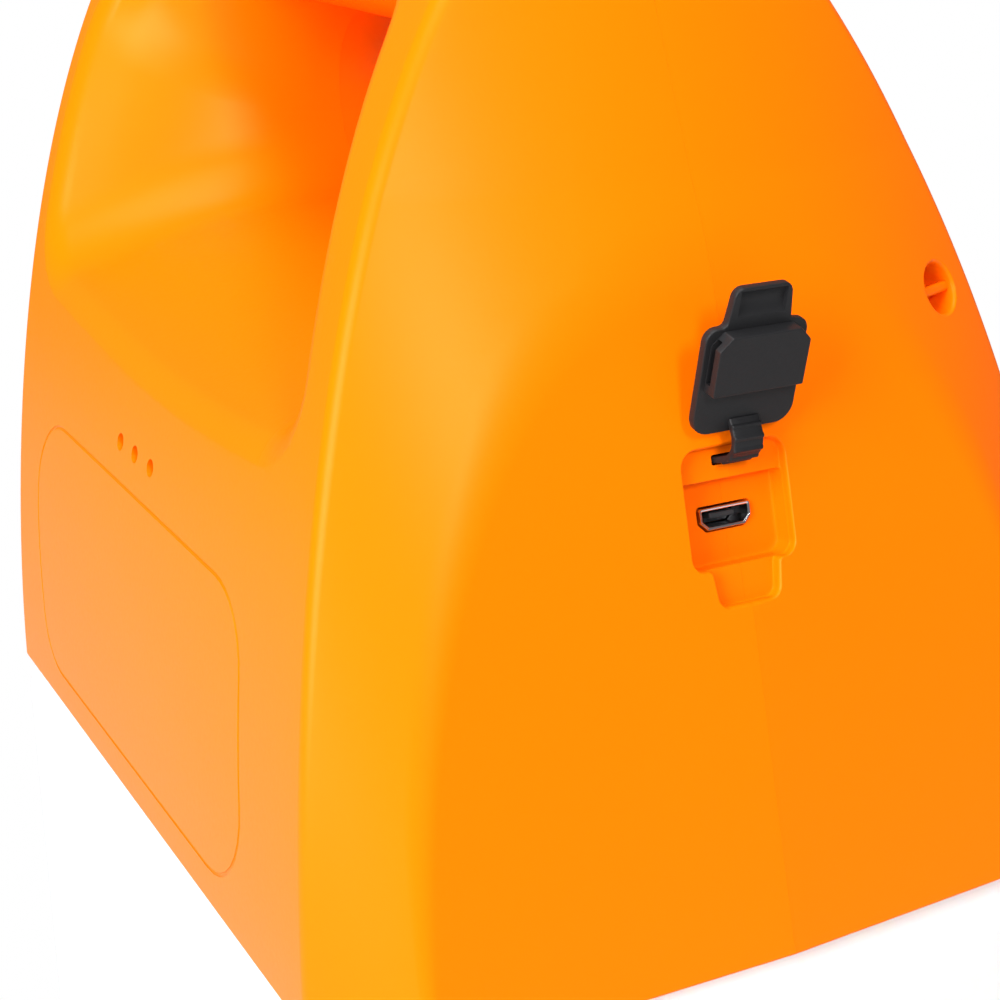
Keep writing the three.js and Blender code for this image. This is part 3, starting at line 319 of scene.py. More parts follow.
for number in (1, 2, 3, 4):
    low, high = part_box(f"foot_{number}")
    place = Matrix.Translation(((low.x + high.x) / 2, (low.y + high.y) / 2, low.z))
    recess = [(FOOT_RADIUS + 0.3, -4), (FOOT_RADIUS + 0.3, FOOT_HEIGHT + 0.1)]
    carve(light_box, turn("recess", recess, place))

frosted = moulded("frosted_plastic", (0.72, 0.72, 0.715), 0.3, grain=0.004, grain_size=600, drift=0.01)
frosted.node_tree.nodes["Principled BSDF"].inputs["Subsurface Weight"].default_value = 0.25
frosted.node_tree.nodes["Principled BSDF"].inputs["Subsurface Scale"].default_value = 0.004
fit(light_box, frosted, "lamp", "frosted_plastic", "diffuser")

# Shell: two orange injection-moulded halves that meet on the lamp's middle plane. The hand
# opening runs through both, wide at the sides and narrow in the middle, with round rims.
SHELL_WALL = 2.6
HALF_GAP = 0.008
BOTTOM_EDGE = 0.45
RIM_ROUND = 2.6
OPENING = [(-65.3, 64.2, 14), (-3, 59.3, 400), (38.4, 62.8, 7), (20.2, 118, 13), (-81.9, 118, 14)]
OPENING_WAIST = 13.0
SCREW_PLACES = {
    "back_upper": (30, 53.5, 22),
    "back_lower": (58.5, 19, 22),
    "front_lower": (-60, 19, 22),
    "front_upper": (-77.4, 78, 22),
    "handle_back": (28, 110, 14),
    "handle_middle": (-30, 124.6, 9),
}


def rounded(corners, grow, swell=0.0, steps=9, between=10):
    """A polygon with round corners, moved outwards by grow; every outline has the same count of points."""
    count = len(corners)
    area = sum(corners[i - 1][0] * corners[i][1] - corners[i][0] * corners[i - 1][1] for i in range(count))
    way = 1 if area > 0 else -1
    lines = []
    for i, (a, b, _) in enumerate(corners):
        c, d, _ = corners[(i + 1) % count]
        length = math.hypot(c - a, d - b)
        normal = Vector(((d - b) / length * way, -(c - a) / length * way))
        lines.append((normal, normal.dot(Vector((a, b))) + grow))
    tips, turns, radii = [], [], []
    for i, (_, _, size) in enumerate(corners):
        (p, at_p), (q, at_q) = lines[i - 1], lines[i]
        det = p.x * q.y - p.y * q.x
        tips.append(Vector(((at_p * q.y - at_q * p.y) / det, (at_q * p.x - at_p * q.x) / det)))
        turns.append((p, q, 1 if det * way > 0 else -1, math.acos(max(-1.0, min(1.0, p.dot(q)))) / 2))
        radii.append(max(size + swell * turns[-1][2], 0.05))
    arcs = []
    for i, (p, q, bulge, half) in enumerate(turns):
        room = min(
            (tips[i] - tips[j]).length - radii[j] * math.tan(turns[j][3]) * (radii[j] < radii[i])
            for j in ((i - 1) % count, (i + 1) % count)
        )
        radius = min(radii[i], 0.96 * room / math.tan(half))
        centre = tips[i] - (p + q).normalized() * bulge * radius / math.cos(half)
        start = math.atan2(p.y * bulge, p.x * bulge)
        sweep = 2 * half * bulge * way
        turning = [start + sweep * k / steps for k in range(steps + 1)]
        arcs.append([centre + Vector((math.cos(angle), math.sin(angle))) * radius for angle in turning])
    points = []
    for i, arc in enumerate(arcs):
        following = arcs[(i + 1) % count][0]
        points += arc + [arc[-1].lerp(following, (k + 1) / (between + 1)) for k in range(between)]
    return points


def flare(size, count=7, end=78):
    """Steps of a round rim, deepest first: how deep below the surface, and how much wider there."""
    angles = [math.radians(end) * i / count for i in range(count + 1)]
    steps = [(size * (1 - math.sin(a)), size * (1 - math.cos(a))) for a in angles]
    deep, wide = steps[-1]
    tail = size * 0.4
    last = math.radians(end)
    return steps + [(deep - tail * math.cos(last) * 2.2, wide + tail * math.sin(last) * 2.2)]


def hand_opening(grow, rim):
    """The tool that cuts the hand opening; with a rim it opens out at the lamp's sides."""
    sides = []
    for i in range(13):
        share = 0.86 * i / 12
        shape = rounded(OPENING, grow - OPENING_WAIST * (1 - share**2))
        sides.append([(share, 0, p) for p in shape])
    if rim:
        for depth, wide in flare(RIM_ROUND):
            share = 1 - depth / 50
            shape = rounded(OPENING, grow + wide - OPENING_WAIST * (1 - share**2), wide)
            sides.append([(1, depth, p) for p in shape])
    last = rounded(OPENING, grow + (1.1 * RIM_ROUND if rim else 0), 1.1 * RIM_ROUND if rim else 0)
    right = [
        [at(share * reach(min(p.y, 132)) - depth, p.x, p.y) for share, depth, p in ring] for ring in sides
    ]
    right.append([at(75, p.x, p.y) for p in last])
    left = [[Vector((-p.x, p.y, p.z)) for p in ring] for ring in right[1:]]
    return wrap("hand_opening", list(reversed(left)) + right)


def body_levels(low):
    """Heights from the seam to the top of the arch: close together where the skin turns fast."""
    plain = (
        [2.0 * i for i in range(1, 37)]
        + [73 + 1.0 * i for i in range(21)]
        + [95 + 2.0 * i for i in range(14)]
    )
    top = [20, 18, 16, 14, 12, 10, 8.5, 7, 5.5, 4, 3, 2, 1.2, 0.6]
    arch = [
        ARCH_HEIGHT * (1 - (s / ARCH_HALF_WIDTH) ** ARCH_ROUNDNESS) ** (1 / ARCH_ROUNDNESS) for s in top
    ]
    return low + plain + [z for z in arch if z > plain[-1] + 0.5]


def half_of(piece, side, gap):
    """Keeps the part of a closed piece beyond the parting plane, and closes the cut."""
    pick(piece)
    bpy.ops.object.mode_set(mode="EDIT")
    bpy.ops.mesh.select_all(action="SELECT")
    bpy.ops.mesh.bisect(
        plane_co=(side * gap * MM, 0, 0),
        plane_no=(side, 0, 0),
        use_fill=True,
        clear_inner=True,
        threshold=1e-7,
    )
    bpy.ops.object.mode_set(mode="OBJECT")
    return piece


def rod(radius, start, end, sides=48, name="rod"):
    """A round bar between two points, in metres."""
    alone()
    along = end - start
    turned_to = along.to_track_quat("Z", "Y").to_euler()
    bpy.ops.mesh.primitive_cylinder_add(
        vertices=sides, radius=radius, depth=along.length, location=(start + end) / 2, rotation=turned_to
    )
    bar = bpy.context.object
    bar.name = name
    bpy.ops.object.transform_apply(location=True, rotation=True, scale=True)
    return bar


orange = moulded(
    "shell_plastic", (0.96, 0.15, 0.0), 0.34, grain=0.012, grain_size=1500, drift=0.012, specular=0.3
)
orange_sockets = orange.node_tree.nodes["Principled BSDF"].inputs
orange_sockets["IOR"].default_value = 1.36
orange_sockets["Specular Tint"].default_value = (1.0, 0.7, 0.3, 1)

edge_levels = [(BOTTOM_EDGE * (1 - math.cos(a)), BOTTOM_EDGE * (1 - math.sin(a))) for a in quarter_round(4)]
halves = {}
for side, name in ((1, "shell_left"), (-1, "shell_right")):
    rings = [outline(z, inset) for z, inset in edge_levels] + [outline(z) for z in body_levels([])]
    half = half_of(wrap(name + "_skin", rings), side, HALF_GAP)
    room_rings = [outline(z, SHELL_WALL) for z in [-3, 0] + [z - SHELL_WALL for z in body_levels([])[2::2]]]
    room = half_of(wrap("room", room_rings), side, -8)
    carve(room, hand_opening(SHELL_WALL, False))
    if side < 0:
        for y, z, seat in SCREW_PLACES.values():
            carve(room, rod(5.3 * MM, at(-80, y, z), at(-seat + 2, y, z)))
    for y, z, seat in SCREW_PLACES.values():
        carve(room, rod(3.5 * MM, at(-80, y, z), at(80, y, z), 24))
    carve(half, room)
    carve(half, hand_opening(0, True))
    halves[side] = half

# Charging pocket: a shallow pocket sunk in the back face, with a ledge at its top for the
# cover's strap, a deeper floor that holds the socket, and a thumb notch at its foot.
PORT_HEIGHT = 53.5
BACK_LEAN = math.atan(0.293)
POCKET_HALF = 7.6
LEDGE_DEPTH = 1.6
POCKET_DEPTH = 4.0
POCKET = [
    (-POCKET_HALF, 9, 2.2),
    (POCKET_HALF, 9, 2.2),
    (POCKET_HALF, -5.8, 1.8),
    (4.9, -5.8, 0.7),
    (4.3, -10.6, 1.5),
    (-4.3, -10.6, 1.5),
    (-4.9, -5.8, 0.7),
    (-POCKET_HALF, -5.8, 1.8),
]
DEEP_POCKET = [(-7.58, 5, 0.5), (7.58, 5, 0.5), (7.58, -5.78, 1.75), (-7.58, -5.78, 1.75)]
SOCKET = {"half": 3.75, "top": 1.4, "foot": -1.4, "cut": 1.0}
STRAP_SLOT = [(-2.4, 8.0, 0.3), (2.4, 8.0, 0.3), (2.4, 6.7, 0.3), (-2.4, 6.7, 0.3)]
port_place = Matrix.Translation(at(0, 74.2 - 0.293 * PORT_HEIGHT, PORT_HEIGHT)) @ Matrix(
    (
        (-1, 0, 0, 0),
        (0, -math.sin(BACK_LEAN), math.cos(BACK_LEAN), 0),
        (0, math.cos(BACK_LEAN), math.sin(BACK_LEAN), 0),
        (0, 0, 0, 1),
    )
)


def sunk(name, corners, levels, place, between=4):
    """A tool or block drawn as an outline on a face. A level is (height, growth, extra round)."""
    rings = []
    for height, grow, swell in levels:
        shape = rounded(corners, grow, swell, 8, between)
        rings.append([place @ Vector((p.x * MM, p.y * MM, height * MM)) for p in shape])
    return wrap(name, rings)


def socket_outline(grow):
    """The charging socket's outline, wide side up, with its two lower corners cut off."""
    half, top, foot, cut = (SOCKET[key] for key in ("half", "top", "foot", "cut"))
    corners = [(-half, top, 0.35), (half, top, 0.35), (half, foot + cut, 0.4)]
    corners += [(half - cut, foot, 0.4), (-half + cut, foot, 0.4), (-half, foot + cut, 0.4)]
    return [(x, y, max(0.12, size + grow)) for (x, y, size) in corners]


def rim_levels_of(size, floor):
    """Levels of a cut with a round rim, from its floor up and out of the face."""
    levels = [(floor, -0.25, 0), (floor + 0.08, -0.07, 0), (floor + 0.25, 0, 0)]
    levels += [(-deep, wide, wide) for deep, wide in flare(size)]
    return levels + [(3, levels[-1][1] + 0.02, size)]


pocket_block = sunk(
    "pocket_block",
    [(-10.2, 12, 1), (10.2, 12, 1), (10.2, -13, 1), (-10.2, -13, 1)],
    [(-6.6, 0, 0), (-2, 0, 0)],
    port_place,
)
for side in (1, -1):
    block = pocket_block.copy()
    block.data = pocket_block.data.copy()
    bpy.context.collection.objects.link(block)
    carve(halves[side], half_of(block, side, HALF_GAP), "UNION")
    carve(halves[side], sunk("pocket", POCKET, rim_levels_of(0.7, -LEDGE_DEPTH), port_place))
    deep_levels = [(-POCKET_DEPTH, -0.6, 0), (-POCKET_DEPTH + 0.16, -0.18, 0), (-POCKET_DEPTH + 0.6, 0, 0)]
    deep_levels.append((-LEDGE_DEPTH + 0.1, 0, 0))
    carve(halves[side], sunk("pocket_floor", DEEP_POCKET, deep_levels, port_place))
    hole_levels = [(-9, 0.25, 0.25), (-3, 0.25, 0.25)]
    carve(halves[side], sunk("socket_hole", socket_outline(0), hole_levels, port_place))
    carve(halves[side], sunk("strap_slot", STRAP_SLOT, [(-9, 0, 0), (-1, 0, 0)], port_place))
bpy.data.objects.remove(pocket_block)

# Charge indicators: three small holes in the left side, with dark red light guides behind
# them, and beside them the faint sunk outline of the panel where a label would go.
INDICATOR_YS = (-17.4, -11.1, -4.5)
INDICATOR_Z = 49.4
INDICATOR_HOLE = 1.25
LABEL = [(-44.5, 5.5, 10), (41.2, 5.5, 11), (32.4, 44, 12), (-55.5, 44, 10), (-51.5, 26, 60)]
GROOVE = 0.32

for y in INDICATOR_YS:
    out = reach(INDICATOR_Z)
    carve(halves[1], rod(2.3 * MM, at(44.4, y, INDICATOR_Z), at(out - 1, y, INDICATOR_Z), 32), "UNION")
    carve(halves[1], rod(INDICATOR_HOLE * MM, at(40, y, INDICATOR_Z), at(70, y, INDICATOR_Z), 40))
label_line = [(p.x, p.y) for p in rounded(LABEL, 0, 0, 8, 14)]
groove_rings = []
for i, (y, z) in enumerate(label_line):
    before, after = label_line[i - 1], label_line[(i + 1) % len(label_line)]
    along = Vector((after[0] - before[0], after[1] - before[1])).normalized()
    ring = []
    for k in range(8):
        turn_by = 2 * math.pi * k / 8
        off = GROOVE * math.cos(turn_by)
        higher = z + along.x * off
        ring.append(at(reach(higher) + GROOVE * math.sin(turn_by) + 0.08, y - along.y * off, higher))
    groove_rings.append(ring)
carve(halves[1], wrap("label_groove", groove_rings, joined=True))

# Lanyard eye: a round recess in the right shoulder of the back, square to the skin, with a
# bar across it for a cord to go round.
EYE_RADIUS = 3.5
EYE_DEPTH = 4.4
EYE_BAR = (0.7, -0.9, -3.2)


def back_skin(x, z):
    centre, radius, _ = end_sizes(z, 0, True)
    return centre + math.sqrt(radius**2 - x**2)


eye_x, eye_z = -39, 75
eye_across = Vector((2, back_skin(eye_x + 1, eye_z) - back_skin(eye_x - 1, eye_z), 0))
eye_up = Vector((0, back_skin(eye_x, eye_z + 1) - back_skin(eye_x, eye_z - 1), 2))
eye_out = eye_up.cross(eye_across).normalized()
eye_level = -eye_across.normalized()
eye_turn = Matrix((eye_level, eye_out.cross(eye_level), eye_out)).transposed().to_4x4()
eye_place = Matrix.Translation(at(eye_x, back_skin(eye_x, eye_z), eye_z)) @ eye_turn
cup = turn("eye_cup", [(EYE_RADIUS + 1.9, -EYE_DEPTH - 1.9), (EYE_RADIUS + 1.9, -0.8)], eye_place, 64)
carve(halves[-1], cup, "UNION")
eye_profile = [(EYE_RADIUS - 0.5, -EYE_DEPTH), (EYE_RADIUS - 0.1, -EYE_DEPTH + 0.4), (EYE_RADIUS, -1.2)]
eye_profile += [(EYE_RADIUS + wide, -deep) for deep, wide in flare(0.6, 5)]
eye_tool = turn("eye_tool", eye_profile + [(eye_profile[-1][0] + 0.75, 4)], eye_place, 64)
half_bar, bar_top, bar_low = EYE_BAR
BAR_ROUND = 0.5
bar_section = [(-half_bar, bar_top, BAR_ROUND), (half_bar, bar_top, BAR_ROUND)]
bar_section += [(half_bar, bar_low, BAR_ROUND), (-half_bar, bar_low, BAR_ROUND)]
bar_rings = [
    [eye_place @ Vector((x * MM, p.x * MM, p.y * MM)) for p in rounded(bar_section, 0)] for x in (-6, 6)
]
carve(eye_tool, wrap("eye_bar", bar_rings))
carve(halves[-1], eye_tool)

# Screw holes: six counterbores in the right side take the screws that pull the right half
# onto the left; the left half has blind holes for their threads.
for y, z, seat in SCREW_PLACES.values():
    carve(halves[1], rod(1.8 * MM, at(-1, y, z), at(14, y, z), 24))
    carve(halves[-1], rod(1.9 * MM, at(-80, y, z), at(1, y, z), 32))
    carve(halves[-1], rod(3.8 * MM, at(-80, y, z), at(-seat, y, z), 56))
SPOT_Z = 37
FRONT_LEAN = math.atan(0.14)
spot_place = Matrix.Translation(at(0, -74.2 - 0.14 * SPOT_Z, SPOT_Z)) @ Matrix(
    (
        (1, 0, 0, 0),
        (0, -math.sin(FRONT_LEAN), -math.cos(FRONT_LEAN), 0),
        (0, math.cos(FRONT_LEAN), -math.sin(FRONT_LEAN), 0),
        (0, 0, 0, 1),
    )
)
button_place = Matrix.Translation(at(0, -60, ARCH_HEIGHT))
for side, name in ((1, "shell_left"), (-1, "shell_right")):
    carve(halves[side], turn("spot_hole", [(22.7, -40), (22.7, 10)], spot_place))
    carve(halves[side], turn("button_hole", [(6.3, -6), (6.3, 6)], button_place))
    fit(halves[side], orange, "lamp", "shell_plastic", name)
    halves[side].name = name + "_moulding"

# Gasket, chassis plate and its four screws, light panel: the flat stack between the shell
# and the light box. A black seal, a bare aluminium plate and a white printed panel.
def brushed_metal(name, colour, gloss, stretch=(1, 1, 1)):
    """Bare metal: fine marks in one direction, and a slow change of gloss."""
    finish = moulded(name, colour, gloss, grain=0.006, grain_size=900, drift=0.05)
    nodes, links = finish.node_tree.nodes, finish.node_tree.links
    nodes["Principled BSDF"].inputs["Metallic"].default_value = 1.0
    marks = nodes.new("ShaderNodeMapping")
    marks.inputs["Scale"].default_value = stretch
    links.new(nodes["Texture Coordinate"].outputs["Object"], marks.inputs["Vector"])
    for noise in [node for node in nodes if node.bl_idname == "ShaderNodeTexNoise"]:
        links.new(marks.outputs["Vector"], noise.inputs["Vector"])
    return finish


def printed(name, board, print_colour, size):
    """A circuit board: solder resist, with the lines of its tracks showing through as a lighter web."""
    finish = moulded(name, board, 0.42, grain=0.01, grain_size=1200, drift=0.1)
    nodes, links = finish.node_tree.nodes, finish.node_tree.links
    tracks = nodes.new("ShaderNodeTexVoronoi")
    tracks.distance = "MANHATTAN"
    tracks.inputs["Scale"].default_value = size
    edge = nodes.new("ShaderNodeMapRange")
    edge.inputs["From Min"].default_value = 0.28
    edge.inputs["From Max"].default_value = 0.34
    mix = nodes.new("ShaderNodeMix")
    mix.data_type = "RGBA"
    mix.inputs["B"].default_value = (*print_colour, 1)
    shader = nodes["Principled BSDF"]
    plain = shader.inputs["Base Color"].links[0].from_socket
    links.new(nodes["Texture Coordinate"].outputs["Object"], tracks.inputs["Vector"])
    links.new(tracks.outputs["Distance"], edge.inputs["Value"])
    links.new(edge.outputs["Result"], mix.inputs["Factor"])
    links.new(plain, mix.inputs["A"])
    links.new(mix.outputs["Result"], shader.inputs["Base Color"])
    return finish


aluminium = brushed_metal("aluminium", (0.62, 0.63, 0.65), 0.38, (1, 12, 1))
steel = brushed_metal("steel", (0.55, 0.56, 0.58), 0.26, (1, 1, 6))
white_board = printed("white_board", (0.8, 0.8, 0.78), (0.72, 0.7, 0.6), 160)
dress(cad["diffuser_gasket"], rubber)
dress(cad["chassis_plate"], aluminium)
dress(cad["area_light_board"], white_board)
for number in (1, 2, 3, 4):
    dress(cad[f"chassis_screw_{number}"], steel)

# Battery: four blue-wrapped cells side by side in a black tray, joined by nickel strips at
# both ends, under a black cover whose posts carry the main board.
dark_plastic = moulded("dark_plastic", (0.022, 0.023, 0.025), 0.45, grain=0.02, grain_size=1400, drift=0.1)
cell_wrap = moulded("cell_wrap", (0.03, 0.14, 0.47), 0.3, grain=0.004, grain_size=500, drift=0.08)
nickel = brushed_metal("nickel", (0.66, 0.65, 0.6), 0.3, (8, 1, 1))
dress(cad["battery_tray"], dark_plastic)
dress(cad["battery_cover"], dark_plastic)
for number in (1, 2, 3, 4):
    dress(cad[f"battery_cell_{number}"], cell_wrap)
for end in ("front", "back"):
    dress(cad[f"cell_link_{end}"], nickel)

# Electronics: green boards for the driver, the indicators, the port and the switch, with
# a wound coil, two capacitors and a white lead connector on the main board.
circuit_board = printed("circuit_board", (0.012, 0.11, 0.04), (0.03, 0.2, 0.07), 240)
for name in ("main_board", "indicator_board", "port_board", "switch_board"):
    dress(cad[name], circuit_board)
dress(cad["driver_coil"], dark_plastic)
for number in (1, 2):
    dress(cad[f"capacitor_{number}"], aluminium)
dress(cad["wire_connector"], white_board)

# Leads: thin stranded wires in red and black insulation, laid between the boards.
red_insulation = moulded(
    "red_insulation", (0.45, 0.015, 0.012), 0.4, grain=0.01, grain_size=1500, drift=0.08
)
black_insulation = moulded(
    "black_insulation", (0.012, 0.012, 0.013), 0.42, grain=0.01, grain_size=1500, drift=0.1
)
for name in ("battery_lead_red", "spotlight_lead"):
    dress(cad[name], red_insulation)
for name in ("battery_lead_black", "switch_lead", "port_lead"):
    dress(cad[name], black_insulation)

# Light guides: clear dark red rods pushed into the three indicator holes, with domed ends.
red_plastic = moulded("red_plastic", (0.12, 0.008, 0.005), 0.2, grain=0.004, grain_size=900, drift=0.1)
red_plastic.node_tree.nodes["Principled BSDF"].inputs["Coat Weight"].default_value = 0.5
for number in (1, 2, 3):
    low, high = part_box(f"indicator_window_{number}")
    inner, outer = low.x / MM, high.x / MM
    middle = Matrix.Translation((0, (low.y + high.y) / 2, (low.z + high.z) / 2))
    axis = middle @ Matrix.Rotation(math.pi / 2, 4, "Y")
    dome = [(math.cos(a), outer - 0.6 + 0.6 * math.sin(a)) for a in quarter_round(6)[:-1]]
    guide = turn(f"light_guide_{number}", [(1.0, inner), *dome, (0.12, outer)], axis, 40)
    fit(guide, red_plastic, "lamp", "red_plastic", f"indicator_window_{number}", angle=50)

# Charging socket: a folded steel shell with the wide side up, round a black insulator that
# carries the contact tongue.
SOCKET_FRONT = -3.55
SOCKET_LENGTH = 6.0
steel_bright = brushed_metal("socket_steel", (0.7, 0.7, 0.72), 0.16, (6, 1, 1))
socket_rings = [
    (SOCKET_FRONT - SOCKET_LENGTH, 0),
    (SOCKET_FRONT - 0.1, 0),
    (SOCKET_FRONT, -0.08),
    (SOCKET_FRONT, -0.22),
    (SOCKET_FRONT - 0.1, -0.34),
    (SOCKET_FRONT - SOCKET_LENGTH, -0.34),
]
socket_shell = wrap(
    "socket_shell",
    [
        [
            port_place @ Vector((p.x * MM, p.y * MM, height * MM))
            for p in rounded(socket_outline(grow), grow, 0, 8, 4)
        ]
        for height, grow in socket_rings
    ],
    joined=True,
)
fit(socket_shell, steel_bright, "lamp", "steel", "usb_shell", angle=40)
insulator = sunk("socket_insulator", socket_outline(-0.45), [(-9.4, -0.5, 0), (-7.6, -0.5, 0)], port_place)
tongue = [(-1.85, 0.62, 0.15), (1.85, 0.62, 0.15), (1.85, -0.1, 0.15), (-1.85, -0.1, 0.15)]
carve(insulator, sunk("tongue", tongue, [(-8, 0, 0), (-4.5, 0, 0), (-4.35, -0.12, 0)], port_place), "UNION")
fit(insulator, dark_plastic, "lamp", "black_rubber", "usb_insulator")

# Port cover: one piece of black rubber. A flat plate lies in the pocket's mouth, a plug block
# with a slit in each side fills the pocket, and a scooped tab is there for a thumb nail.
COVER_TURN = math.radians(-152.7)
HINGE = (10.2, 0.2)
COVER_PLATE = [(7.3, 8.7, 2.4), (-7.3, 8.7, 2.4), (-7.3, -5.1, 1.6), (-4.6, -5.3, 0.8)]
COVER_PLATE += [(-4.0, -10.1, 1.3)]
COVER_PLATE += [(-x, y, radius) for x, y, radius in reversed(COVER_PLATE[2:])]
PLATE_THICK = 1.2
PLUG = [(-6.5, 2.7, 0.25), (-6.5, -3.3, 0.3), (-4.9, -4.9, 0.3)]
PLUG += [(-x, y, radius) for x, y, radius in reversed(PLUG)]
PLUG_DEPTH = 2.0
PLUG_SLIT = (0.85, 5.6, 1.5)

shut_to_open = (
    port_place
    @ Matrix.Translation((0, HINGE[0] * MM, HINGE[1] * MM))
    @ Matrix.Rotation(COVER_TURN, 4, "X")
    @ Matrix.Translation((0, -HINGE[0] * MM, -HINGE[1] * MM))
)
EDGE = 0.22
soft = EDGE * 0.3
plate_levels = [(-PLATE_THICK, -EDGE, 0), (-PLATE_THICK + soft, -soft, 0), (-PLATE_THICK + EDGE, 0, 0)]
plate_levels += [(-EDGE, 0, 0), (-soft, -soft, 0), (0, -EDGE, 0)]
cover = sunk("port_cover_rubber", COVER_PLATE, plate_levels, shut_to_open)
bottom = -PLATE_THICK - PLUG_DEPTH
plug_levels = [(bottom, -0.2, 0), (bottom + 0.06, -0.06, 0), (bottom + 0.2, 0, 0)]
plug_levels += [(-PLATE_THICK + 0.4, 0, 0)]
carve(cover, sunk("plug_block", PLUG, plug_levels, shut_to_open), "UNION")
thick, long, deep = PLUG_SLIT
for way in (1, -1):
    inner = way * (6.5 - deep)
    slit = [(inner, 1.5, 0.2), (way * 9, 1.5, 0.2), (way * 9, 1.5 - long, 0.2), (inner, 1.5 - long, 0.2)]
    slit_levels = [(-PLATE_THICK - thick - 0.12, 0, 0), (-PLATE_THICK - 0.12, 0, 0)]
    carve(cover, sunk("slit", slit, slit_levels, shut_to_open))
scoop_start, scoop_end = (shut_to_open @ Vector((x * MM, -8.1 * MM, -2.9 * MM)) for x in (-3.35, 3.35))
carve(cover, rod(2.35 * MM, scoop_start, scoop_end, 64))
fit(cover, rubber, "cover", "black_rubber", "port_cover")

# Strap: a narrow ribbed tongue of the same rubber. It grows out of the plate's foot, bends
# over and goes through the slot in the ledge, where a head holds it behind the wall.
STRAP_HALF = 2.15
STRAP_THICK = 0.8
STRAP_PATH = [(7.35, -8.2), (7.35, -4.0), (7.35, -1.4), (7.45, 0.3), (7.75, 1.7), (8.6, 2.75)]
STRAP_PATH += [(9.9, 3.2), (11.3, 3.0), (12.3, 2.75)]


def strap_points(path, steps):
    """A smooth line through the path's points."""
    line = []
    for i in range(len(path) - 1):
        p0, p1, p2, p3 = (Vector(path[min(max(i + k, 0), len(path) - 1)]) for k in (-1, 0, 1, 2))
        for k in range(steps):
            t = k / steps
            square = 2 * p0 - 5 * p1 + 4 * p2 - p3
            cube = 3 * p1 - p0 - 3 * p2 + p3
            line.append(0.5 * ((2 * p1) + (p2 - p0) * t + square * t * t + cube * t**3))
    return line + [Vector(path[-1])]


strap_line = strap_points(STRAP_PATH, 8)
strap_rings = []
for i, point in enumerate(strap_line):
    ahead = strap_line[min(i + 1, len(strap_line) - 1)] - strap_line[max(i - 1, 0)]
    out = Vector((-ahead.y, ahead.x)).normalized()
    ribbed = 0.24 * max(0.0, math.cos(i * math.pi / 4)) if 18 < i < 58 else 0.0
    half = STRAP_THICK / 2
    top = half + ribbed
    section = [(-STRAP_HALF, top), (STRAP_HALF, top), (STRAP_HALF, -half), (-STRAP_HALF, -half)]
    corners = rounded([(a, b, 0.22) for a, b in section], 0, 0, 3, 2)
    strap_rings.append(
        [
            port_place @ Vector((p.x * MM, (point.x + out.x * p.y) * MM, (point.y + out.y * p.y) * MM))
            for p in corners
        ]
    )
strap = wrap("cover_strap", strap_rings)
head = [(-3.8, 8.65, 0.5), (3.8, 8.65, 0.5), (3.8, 6.05, 0.5), (-3.8, 6.05, 0.5)]
carve(strap, sunk("strap_head", head, [(-8.3, 0, 0), (-6.9, 0, 0)], port_place), "UNION")
dress(strap, rubber)
smooth(strap, 35)
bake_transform(strap)
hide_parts("cover_strap_anchor")


# Spotlight: a black screw-in bezel holds a clear lens over a mirror-coated reflector. Inside
# sit the emitter on its white board, a bare aluminium heat sink and the lock ring.
LENS_RADIUS = 20.6
BARREL_RADIUS = 22.4
BEZEL_RADIUS = 25.0
BEZEL_TOP = 2.4
LENS_TOP = 0.4
LENS_THICK = 2.2
REFLECTOR_DEPTH = 22.0
REFLECTOR_NECK = 4.4
bezel_edge = [
    (BEZEL_RADIUS - 0.8 + 0.8 * math.cos(a), BEZEL_TOP - 0.8 + 0.8 * math.sin(a)) for a in quarter_round(6)
]
bezel = turn(
    "spotlight_bezel_ring",
    [
        (BARREL_RADIUS, -9),
        (BARREL_RADIUS, 0.3),
        (BEZEL_RADIUS - 0.2, 0.3),
        (BEZEL_RADIUS, 0.5),
        *bezel_edge,
        (10, BEZEL_TOP),
    ],
    spot_place,
    128,
)
seat = LENS_RADIUS + 0.3
lens_step = LENS_TOP + 0.3
carve(bezel, turn("lens_seat", [(seat, -12), (seat, lens_step)], spot_place, 128))
mouth = [(19, -2), (19, lens_step - 0.1), (20.15, BEZEL_TOP - 0.2), (20.5, BEZEL_TOP + 0.2)]
carve(bezel, turn("bezel_mouth", mouth, spot_place, 128))
for count in range(6):
    way = math.radians(60 * count + 30)
    grip = spot_place @ Matrix.Translation((26.6 * MM * math.cos(way), 26.6 * MM * math.sin(way), 0))
    carve(bezel, turn("grip_notch", [(2.4, 1.0), (2.4, 4)], grip, 32))
fit(bezel, dark_plastic, "lamp", "dark_plastic", "spotlight_bezel")

clear = moulded("clear_plastic", (0.95, 0.96, 0.97), 0.03, grain=0.001, grain_size=600, drift=0.01)
clear_sockets = clear.node_tree.nodes["Principled BSDF"].inputs
clear_sockets["Transmission Weight"].default_value = 1.0
clear_sockets["IOR"].default_value = 1.49
lens_low = LENS_TOP - LENS_THICK
lens_rim = [(LENS_RADIUS - 0.3, lens_low), (LENS_RADIUS, lens_low + 0.3), (LENS_RADIUS, LENS_TOP - 0.3)]
lens = turn("spotlight_window", [*lens_rim, (LENS_RADIUS - 0.3, LENS_TOP)], spot_place, 128)
fit(lens, clear, "lamp", "clear_plastic", "spotlight_lens")

